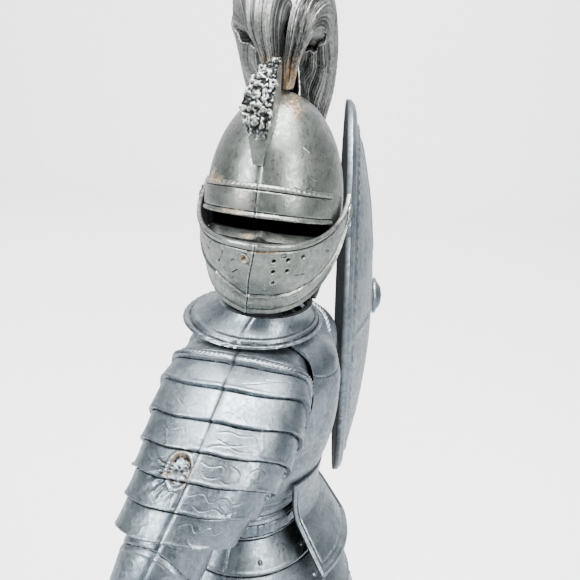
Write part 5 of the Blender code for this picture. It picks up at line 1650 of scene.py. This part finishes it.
def upperArmHalf(side, name, half):
    # tube with soft folds where it bends, a rolled lip, and a joint along each side
    station = np.linspace(arm["stations"][0], arm["stations"][-1], 240)[:, None]
    angle = halfAngles(half, 130)
    base, ahead = armPoints(side, station + 0 * angle, angle + 0 * station, 0.0)
    core, _ = armPoints(side, station + 0 * angle, angle + 0 * station, -0.003)
    down = -station / arm["upper"]
    relief = paintLumps(base, 260 + side, 1.6) + seamGroove(angle, half, 0.055)
    # a shallow flat down the outer face, and a crease that runs across it below the sleeve
    relief = relief - 0.00022 * bell(np.cos(angle - side * 1.1) - 1, 0.10) * ease((down - 0.15) * 5)
    relief = relief - 0.00016 * bell(down - 0.26 - 0.10 * np.cos(angle * 2), 0.018)
    relief = relief + 0.00012 * bell(down - 0.32 - 0.10 * np.cos(angle * 2), 0.022)
    relief = relief - 0.00018 * bell(down - 0.90, 0.02) + 0.00024 * bell(down - 0.96, 0.03)
    relief = relief + 0.00006 * creases(base, 0.0048, 262 + side)
    outer = base + (base - core) / 0.003 * (relief - 0.0001)[..., None]
    rows = np.linspace(0, 239, 36).astype(int)
    coarse = halfAngles(half, 30)
    inner, _ = armPoints(side, station[rows] + 0 * coarse, coarse + 0 * station[rows], -kit["wall"])
    shift = ahead * -halves[half][2] * kit["seam"] / 2
    mesh = shellMesh(f"{name}UpperArm{half.title()}", outer + shift, inner + shift)
    finishPiece(mesh.name, mesh, f"{name}_arm", [f"{name}_upper_arm_{half}"], "coolSilver")


def lowerArm(side, name):
    # elbow cap with a raised band, a forearm with cuffs, and a clenched gauntlet
    end, along = shoulderEnd(side)
    reach = Vector(arm["reach"][side]).normalized()
    elbow = end + along * (arm["upper"] + 0.0042)
    wide, radius = arm["radius"] * 0.68, arm["elbow"]
    profile = [(0, wide), (radius * 0.55, wide * 0.97), (radius * 0.9, wide * 0.6), (radius, 0)]
    profile += [(r, -height) for r, height in reversed(profile[:-1])]

    def elbowRelief(angle, r, height):
        band = 0.00016 * bell(np.abs(height) - 0.0015, 0.0003) - 0.00014 * bell(np.abs(height) - 0.0022, 0.0002)
        return band * (r > radius * 0.6) + 0.00004 * np.sin(angle * 5 + height * 900) - 0.0001

    body = f"{name}_arm"
    mesh = turnedMesh(f"{name}ElbowCop", profile, frameAlong(elbow, along.cross(reach).normalized()), 120, elbowRelief, 0.00012)
    finishPiece(mesh.name, mesh, body, [f"{name}_elbow_cop"], "coolSilver")

    start, long = radius + kit["gap"], arm["forearm"]
    thick, slim = arm["radius"] * 0.72, arm["radius"] * 0.58
    profile = [(0, long), (slim, long), (slim * 0.96, long - 0.004), (thick, start + (long - start) * 0.42)]
    profile += [(thick * 0.62, start), (0, start)]

    def forearmRelief(angle, r, height):
        share = (height - start) / (long - start)
        rings = 0.00022 * bell(share - 0.95, 0.035) - 0.00015 * bell(share - 0.88, 0.02)
        rings = rings - 0.00013 * (bell(share - 0.70, 0.010) + bell(share - 0.62, 0.010))
        seam = -0.00013 * bell(np.abs(np.sin(angle)), 0.035)
        return (rings + seam - 0.0001) * (r > 0.0024)

    mesh = turnedMesh(f"{name}Vambrace", profile, frameAlong(elbow, reach), 150, forearmRelief, 0.00012)
    finishPiece(mesh.name, mesh, body, [f"{name}_vambrace"], "coolSilver")

    wrist = np.array(elbow + reach * (long + kit["gap"]))
    way = np.array(reach)
    hold = np.array(Vector(arm["hold"][side]).normalized())
    over = np.cross(way, hold)
    over /= np.linalg.norm(over)
    hold = np.cross(over, way)
    sections = np.array(
        [
            (0.0, 0.0040, 0.0040),
            (0.0022, 0.0050, 0.0052),
            (0.0034, 0.0038, 0.0044),
            (0.0060, 0.0044, 0.0052),
            (0.0100, 0.0042, 0.0052),
            (0.0118, 0.0028, 0.0044),
        ]
    )
    at = np.linspace(0, 0.0118, 150)[:, None]
    around = np.linspace(0, 2 * math.pi, 150, endpoint=False)[None, :]
    across = np.interp(at, sections[:, 0], sections[:, 1])
    tall = np.interp(at, sections[:, 0], sections[:, 2])
    # four fingers side by side along the hold, folded over the far end and split by grooves
    along = tall * np.sin(around)
    fingers = np.abs(np.cos(along / 0.0052 * 2 * math.pi))
    relief = (0.00040 * (np.sqrt(fingers) - 0.9)) * ease((at - 0.0062) * 900)
    relief = relief + 0.0002 * bell(at - 0.0021, 0.0003) - 0.00022 * bell(at - 0.0035, 0.0003)
    relief = relief - 0.00016 * (bell(at - 0.0066, 0.00014) + bell(at - 0.0092, 0.00014))
    middle = wrist + way * at[..., None]
    scale = 1 + (relief - 0.00005) / 0.0045
    grid = middle + over * (across * scale * np.cos(around))[..., None] + hold * (along * scale)[..., None]
    mesh = solidMesh(f"{name}Gauntlet", grid)
    finishPiece(mesh.name, mesh, body, [f"{name}_gauntlet"], "coolSilver")
    return elbow, Vector(wrist)


def makeSword(elbow):
    # wire-wound grip with a round pommel, a guard with swollen ends, and a fullered blade pointing down
    reach = Vector(arm["reach"][-1]).normalized()
    fist = elbow + reach * (arm["forearm"] + kit["gap"] + 0.0078)
    place = frameAlong(fist, Vector(arm["hold"][-1]).normalized())
    grip, top = 0.0014, -0.0062
    profile = [(0, 0.0142), (0.0018, 0.0136), (0.0027, 0.0116), (0.0018, 0.0096), (grip, 0.0090), (grip, top)]
    profile += [(0.0024, top - 0.0002), (0.0024, top - 0.0020), (0, top - 0.0020)]

    def relief(angle, r, height):
        wound = np.cos(angle - height / 0.0008 * 2 * math.pi)
        rings = 0.00012 * bell(np.abs(height - 0.0116) - 0.0006, 0.0002)
        return np.where((height < 0.0088) & (height > top + 0.0004), 0.00009 * wound - 0.00006, rings * (r > 0.0012))

    mesh = turnedMesh("swordGrip", profile, place, 60, relief, 0.0001)
    finishPiece("swordGrip", mesh, "right_arm", ["sword_grip"], "coolSilver")

    guardZ = top - 0.0020 - kit["gap"] - 0.0011
    x = np.linspace(-0.0105, 0.0105, 120)[:, None]
    around = np.linspace(0, 2 * math.pi, 40, endpoint=False)[None, :]
    swell = 0.60 + 0.38 * ease((np.abs(x) - 0.0066) * 500) - 0.5 * ease((np.abs(x) - 0.0100) * 3000)
    swell = np.maximum(swell, 0.95 * bell(x, 0.0026)) - 0.08 * bell(np.abs(x) - 0.0068, 0.0004)
    grid = np.stack(np.broadcast_arrays(x, 0.0012 * swell * np.cos(around), guardZ + 0.0011 * swell * np.sin(around)), -1)
    mesh = solidMesh("swordGuard", placed(grid, place))
    finishPiece("swordGuard", mesh, "right_arm", ["sword_guard"], "coolSilver")

    share = np.linspace(0, 1, 300)[:, None]
    width = curveThrough((0.0, 0.5, 0.88, 1.0), (1.0, 0.86, 0.62, 0.06), share)
    thick = curveThrough((0.0, 0.5, 0.88, 1.0), (1.0, 0.9, 0.8, 0.3), share)
    t = np.linspace(0, 1, 64, endpoint=False)[None, :]
    across = np.interp(t, (0, 0.25, 0.5, 0.75, 1.0), (1, 0, -1, 0, 1))
    deep = np.interp(t, (0, 0.25, 0.5, 0.75, 1.0), (0, 1, 0, -1, 0))
    hollow = 1 - 0.30 * bell(across, 0.22) * ease((0.62 - share) * 12) * ease(share * 30)
    z = guardZ - 0.0011 - kit["gap"] - 0.080 * share
    nicks = 1 - 0.05 * ease(cloud(np.stack(np.broadcast_arrays(0 * t, 0 * t, z), -1), 0.003, 270, 2) * 4 - 1.2)
    grid = np.stack(np.broadcast_arrays(0.0028 * width * across * nicks, 0.0009 * thick * deep * hollow, z), -1)
    mesh = solidMesh("swordBlade", placed(grid, place))
    finishPiece("swordBlade", mesh, "right_arm", ["sword_blade"], "coolSilver", 0.0004, 20)


for side, name in ((-1, "right"), (1, "left")):
    for half in halves:
        upperArmHalf(side, name, half)
    found = lowerArm(side, name)
    if side < 0:
        makeSword(found[0])
print("arms and sword done")

dish = {"width": 0.0270, "height": 0.0473, "dome": 0.0068, "normal": (0.19, -0.98, 0.05), "out": 0.0265, "back": 0.0062, "up": 0.657}


def shieldPlace():
    normal = Vector(dish["normal"]).normalized()
    middle = Vector(
        (chest["halfWidth"] + dish["out"], -chest["depth"] + dish["back"], kit["waistZ"] + chest["height"] * dish["up"])
    )
    across = Vector((0, 0, 1)).cross(normal).normalized()
    return Matrix.Translation(middle) @ Matrix((across, normal.cross(across), normal)).transposed().to_4x4()


def makeShield():
    # domed oval dish: rolled rim, a beaded line inside it, four raised ribs and a round boss
    place = shieldPlace()

    def points(share, angle, lift):
        rise = dish["dome"] * (1 - share**2.2) + lift
        return placed(
            np.stack(np.broadcast_arrays(dish["width"] * share * np.cos(angle), dish["height"] * share * np.sin(angle), rise), -1),
            place,
        )

    share = np.linspace(0.06, 1, 260)[:, None]
    angle = np.linspace(0, 2 * math.pi, 560, endpoint=False)[None, :]
    base = points(share, angle, 0.0)
    relief = 0.0007 * bell(share - 0.965, 0.022) - 0.0003 * bell(share - 0.915, 0.010)
    relief = relief + 0.00028 * bell(share - 0.875, 0.010) * (0.7 + 0.4 * np.cos(angle * 90))
    ribs = bell(share * np.cos(angle) * dish["width"], 0.0007) + bell(share * np.sin(angle) * dish["height"], 0.0007)
    relief = relief + 0.00030 * np.minimum(ribs, 1) * ease((0.84 - share) * 20) * ease((share - 0.2) * 20)
    relief = relief - 0.00014 * bell(share - 0.24, 0.012) + paintLumps(base, 280, 1.6) + 0.00005 * creases(base, 0.009, 282)
    lift = np.minimum(relief, 0.0005 + 0 * relief)
    outer = points(share, angle, lift - 0.0001)
    coarse = np.linspace(0.06, 1, 40)[:, None]
    inner = points(coarse, np.linspace(0, 2 * math.pi, 112, endpoint=False)[None, :], -kit["wall"])
    mesh = shellMesh("shieldDish", outer, inner, True)
    finishPiece("shieldDish", mesh, "shield", ["shield_dish"], "coolSilver")
    seat = dish["dome"] + kit["gap"]
    profile = [(0, seat + 0.0022), (0.0022, seat + 0.0018), (0.0040, seat + 0.0006), (0.0044, seat), (0, seat)]

    def bossRelief(turn, r, height):
        return (0.00014 * bell(r - 0.0041, 0.0003) - 0.00012 * bell(r - 0.0034, 0.0002)) * (height > seat + 0.0001)

    mesh = turnedMesh("shieldBoss", profile, place, 90, bossRelief, 0.00012)
    finishPiece("shieldBoss", mesh, "shield", ["shield_boss"], "coolSilver")


makeShield()
print("shield done")

plume = {
    "path": (  # forward, up from the pivot, half height, half width
        (0.0000, 0.0214, 0.0021, 0.0014),
        (0.0000, 0.0268, 0.0030, 0.0022),
        (-0.0008, 0.0316, 0.0048, 0.0040),
        (-0.0040, 0.0334, 0.0060, 0.0054),
        (-0.0100, 0.0294, 0.0074, 0.0057),
        (-0.0150, 0.0212, 0.0066, 0.0054),
        (-0.0174, 0.0124, 0.0042, 0.0042),
        (-0.0176, 0.0050, 0.0016, 0.0020),
    ),
    "slim": 0.60,  # width of the left lobe beside the right one
    "rows": 300,
    "columns": 260,
}


def plumeLobe(side, name):
    # sections carried over the crown and down behind it: strands run along them, parted by creases painted dark as
    # shade
    path = np.array(plume["path"])
    length = np.concatenate([[0], np.cumsum(np.linalg.norm(np.diff(path[:, :2], axis=0), axis=1))])
    at = np.linspace(0, 1, plume["rows"])[:, None]
    found = curveThrough(length / length[-1], path, at[:, 0])
    way = np.gradient(found[:, :2], axis=0)
    for _ in range(30):
        way[1:-1] = 0.25 * way[:-2] + 0.5 * way[1:-1] + 0.25 * way[2:]
    way /= np.linalg.norm(way, axis=1, keepdims=True)
    forward, up, tall, wide = (found[:, i : i + 1] for i in range(4))
    wide = wide * (plume["slim"] if side > 0 else 1.0)
    turn = np.linspace(0, 2 * math.pi, plume["columns"], endpoint=False)[None, :]
    # the strands sway from side to side along the plume, and each bundle ends in its own tip
    sway = 0.34 * np.sin(at * 5.1 + side) + 0.16 * np.sin(at * 11.3 + turn * 2)
    strand = turn + sway
    fine = 40 if side < 0 else 58
    ridges = 0.55 * np.cos(strand * fine) + 0.45 * np.cos(strand * fine * 1.73 + at * 9)
    bundles = np.cos(strand * 9 + 1.3 * np.sin(at * 7 + side))
    body = ease(at * 9)
    deep, broad = (0.00017, 0.00030) if side > 0 else (0.00007, 0.00022)
    relief = body * (deep * ridges + broad * bundles - 0.0003)
    notch = ease((at - 0.80) * 6) * 0.0012 * (1 + np.cos(strand * 9))
    out = (tall + relief - notch * 0.3) * np.sin(turn)
    across = side * (wide + kit["gap"] + (wide + relief) * np.cos(turn))
    grid = headPoints(forward - way[:, 1:] * out, across, kit["pivotZ"] + up + way[:, :1] * out)
    # painted shade: the creases between strands, and the inner faces where the two lobes meet, go dark
    groove = np.clip(-0.65 * bundles - 0.5 * ridges, 0, 1) * body
    hollow = ease((-np.cos(turn) - 0.55) * 3) * body
    stain = bell(at - 0.03, 0.09) + 0 * turn
    mesh = solidMesh(f"plume{name}", grid, {"stain": stain, "bare": np.clip(0.62 * groove + 0.5 * hollow, 0, 0.9)})
    finishPiece(f"plume{name}", mesh, "head", [f"plume_{name.lower()}"], "plumePaint", 0.0003, 70)


for side, name in ((1, "Left"), (-1, "Right")):
    plumeLobe(side, name)
print("plume done")


room = {"floor": 0.9, "wallAt": 0.62, "curve": 0.16}


def backdrop():
    # pale sweep: a floor that curves up into a wall behind the figure; glossy rays see it mid grey, a painted darkening
    # of its reflection in the metal
    mesh = bpy.data.meshes.new("paleSweep")
    angle = math.radians(view["azimuth"])
    away = np.array([-math.sin(angle), math.cos(angle)])
    across = np.array([away[1], -away[0]])
    turn = np.linspace(0, math.pi / 2, 24)
    run = np.concatenate([[-3.0], room["wallAt"] + room["curve"] * np.sin(turn), [room["wallAt"] + room["curve"]]])
    rise = np.concatenate([[0.0], room["curve"] * (1 - np.cos(turn)), [3.0]])
    width = np.array([-3.0, 3.0])
    flat = run[:, None, None] * away + width[None, :, None] * across
    points = np.concatenate([flat, np.broadcast_to(rise[:, None, None], flat.shape[:2] + (1,))], -1)
    _, faces = gridFaces(len(run), 2, False)
    mesh.from_pydata(points.reshape(-1, 3).tolist(), [], faces.tolist())
    mesh.shade_smooth()
    floor = bpy.data.objects.new("paleSweep", mesh)
    bpy.context.scene.collection.objects.link(floor)
    material = bpy.data.materials.new("palePaper")
    material.use_nodes = True
    n = Nodes(material.node_tree)
    shader = material.node_tree.nodes["Principled BSDF"]
    place = n.add("ShaderNodeTexCoord").outputs["Object"]
    tone = n.stretch(n.noise(place, 2.5, 3.0), 0.3, 0.7)
    paper = n.mixColour(tone, (0.84, 0.845, 0.85, 1), (0.87, 0.87, 0.875, 1))
    # painted reflection: the paper shows mid grey in the metal's reflections
    glossy = n.add("ShaderNodeLightPath").outputs["Is Glossy Ray"]
    material.node_tree.links.new(n.mixColour(glossy, paper, (0.38, 0.39, 0.40, 1)), shader.inputs["Base Color"])
    shader.inputs["Roughness"].default_value = 0.85
    mesh.materials.append(material)


def areaLight(name, place, size, power, colour, aim=(0, 0, 0.17)):
    lamp = bpy.data.lights.new(name, "AREA")
    lamp.shape = "RECTANGLE"
    lamp.size, lamp.size_y = size
    lamp.energy = power
    lamp.color = colour
    obj = bpy.data.objects.new(name, lamp)
    obj.location = place
    obj.rotation_euler = (Vector(aim) - Vector(place)).to_track_quat("-Z", "Y").to_euler()
    bpy.context.scene.collection.objects.link(obj)
    return obj


# the camera's place and turn in millimetres and degrees; its sensor is 36 wide
view = {"place": (-159.417, -36.585, 251.426), "azimuth": -79.0, "elevation": 23.0, "roll": 4.3, "lens": 57.04}


def makeCamera():
    a, e, roll = (math.radians(view[key]) for key in ("azimuth", "elevation", "roll"))
    back = Vector((math.sin(a) * math.cos(e), -math.cos(a) * math.cos(e), math.sin(e)))
    right = Vector((0, 0, 1)).cross(back).normalized()
    up = back.cross(right)
    turnedRight = math.cos(roll) * right + math.sin(roll) * up
    turnedUp = -math.sin(roll) * right + math.cos(roll) * up
    camera = bpy.data.cameras.new("camera")
    camera.sensor_width = 36
    camera.lens = view["lens"]
    camera.clip_start = 0.001
    camera.clip_end = 10
    obj = bpy.data.objects.new("camera", camera)
    obj.matrix_world = Matrix.Translation(Vector(view["place"]) / 1000) @ Matrix((turnedRight, turnedUp, back)).transposed().to_4x4()
    bpy.context.scene.collection.objects.link(obj)
    bpy.context.scene.camera = obj


makeCamera()
backdrop()
areaLight("skyPanel", (-0.10, -0.05, 0.90), (0.50, 0.50), 17.0, (1.0, 0.995, 0.985), (0, 0, 0.15))
areaLight("windowPanel", (-0.55, 0.50, 0.50), (0.30, 0.55), 11.0, (0.95, 0.98, 1.0))
areaLight("fillPanel", (-0.45, -0.65, 0.45), (0.25, 0.55), 8.0, (1.0, 0.99, 0.98))
areaLight("wallPanel", (0.10, 0.0, 0.75), (0.8, 0.8), 16.0, (1.0, 1.0, 1.0), (0.62, 0, 0.0))

world = bpy.data.worlds.new("paleRoom")
bpy.context.scene.world = world
world.use_nodes = True
world.node_tree.nodes["Background"].inputs["Color"].default_value = (0.80, 0.82, 0.84, 1)
world.node_tree.nodes["Background"].inputs["Strength"].default_value = 0.26

for name, node in frame["nodes"].items():
    if not node.hide_render:
        slot = next(part["material_slot"] for part in frame["record"]["subparts"] if part["node"] == name)
        match = next(key for key, look in finishes.items() if look["slot"] == slot)
        node.data.materials.clear()
        node.data.materials.append(finishes[match]["material"])
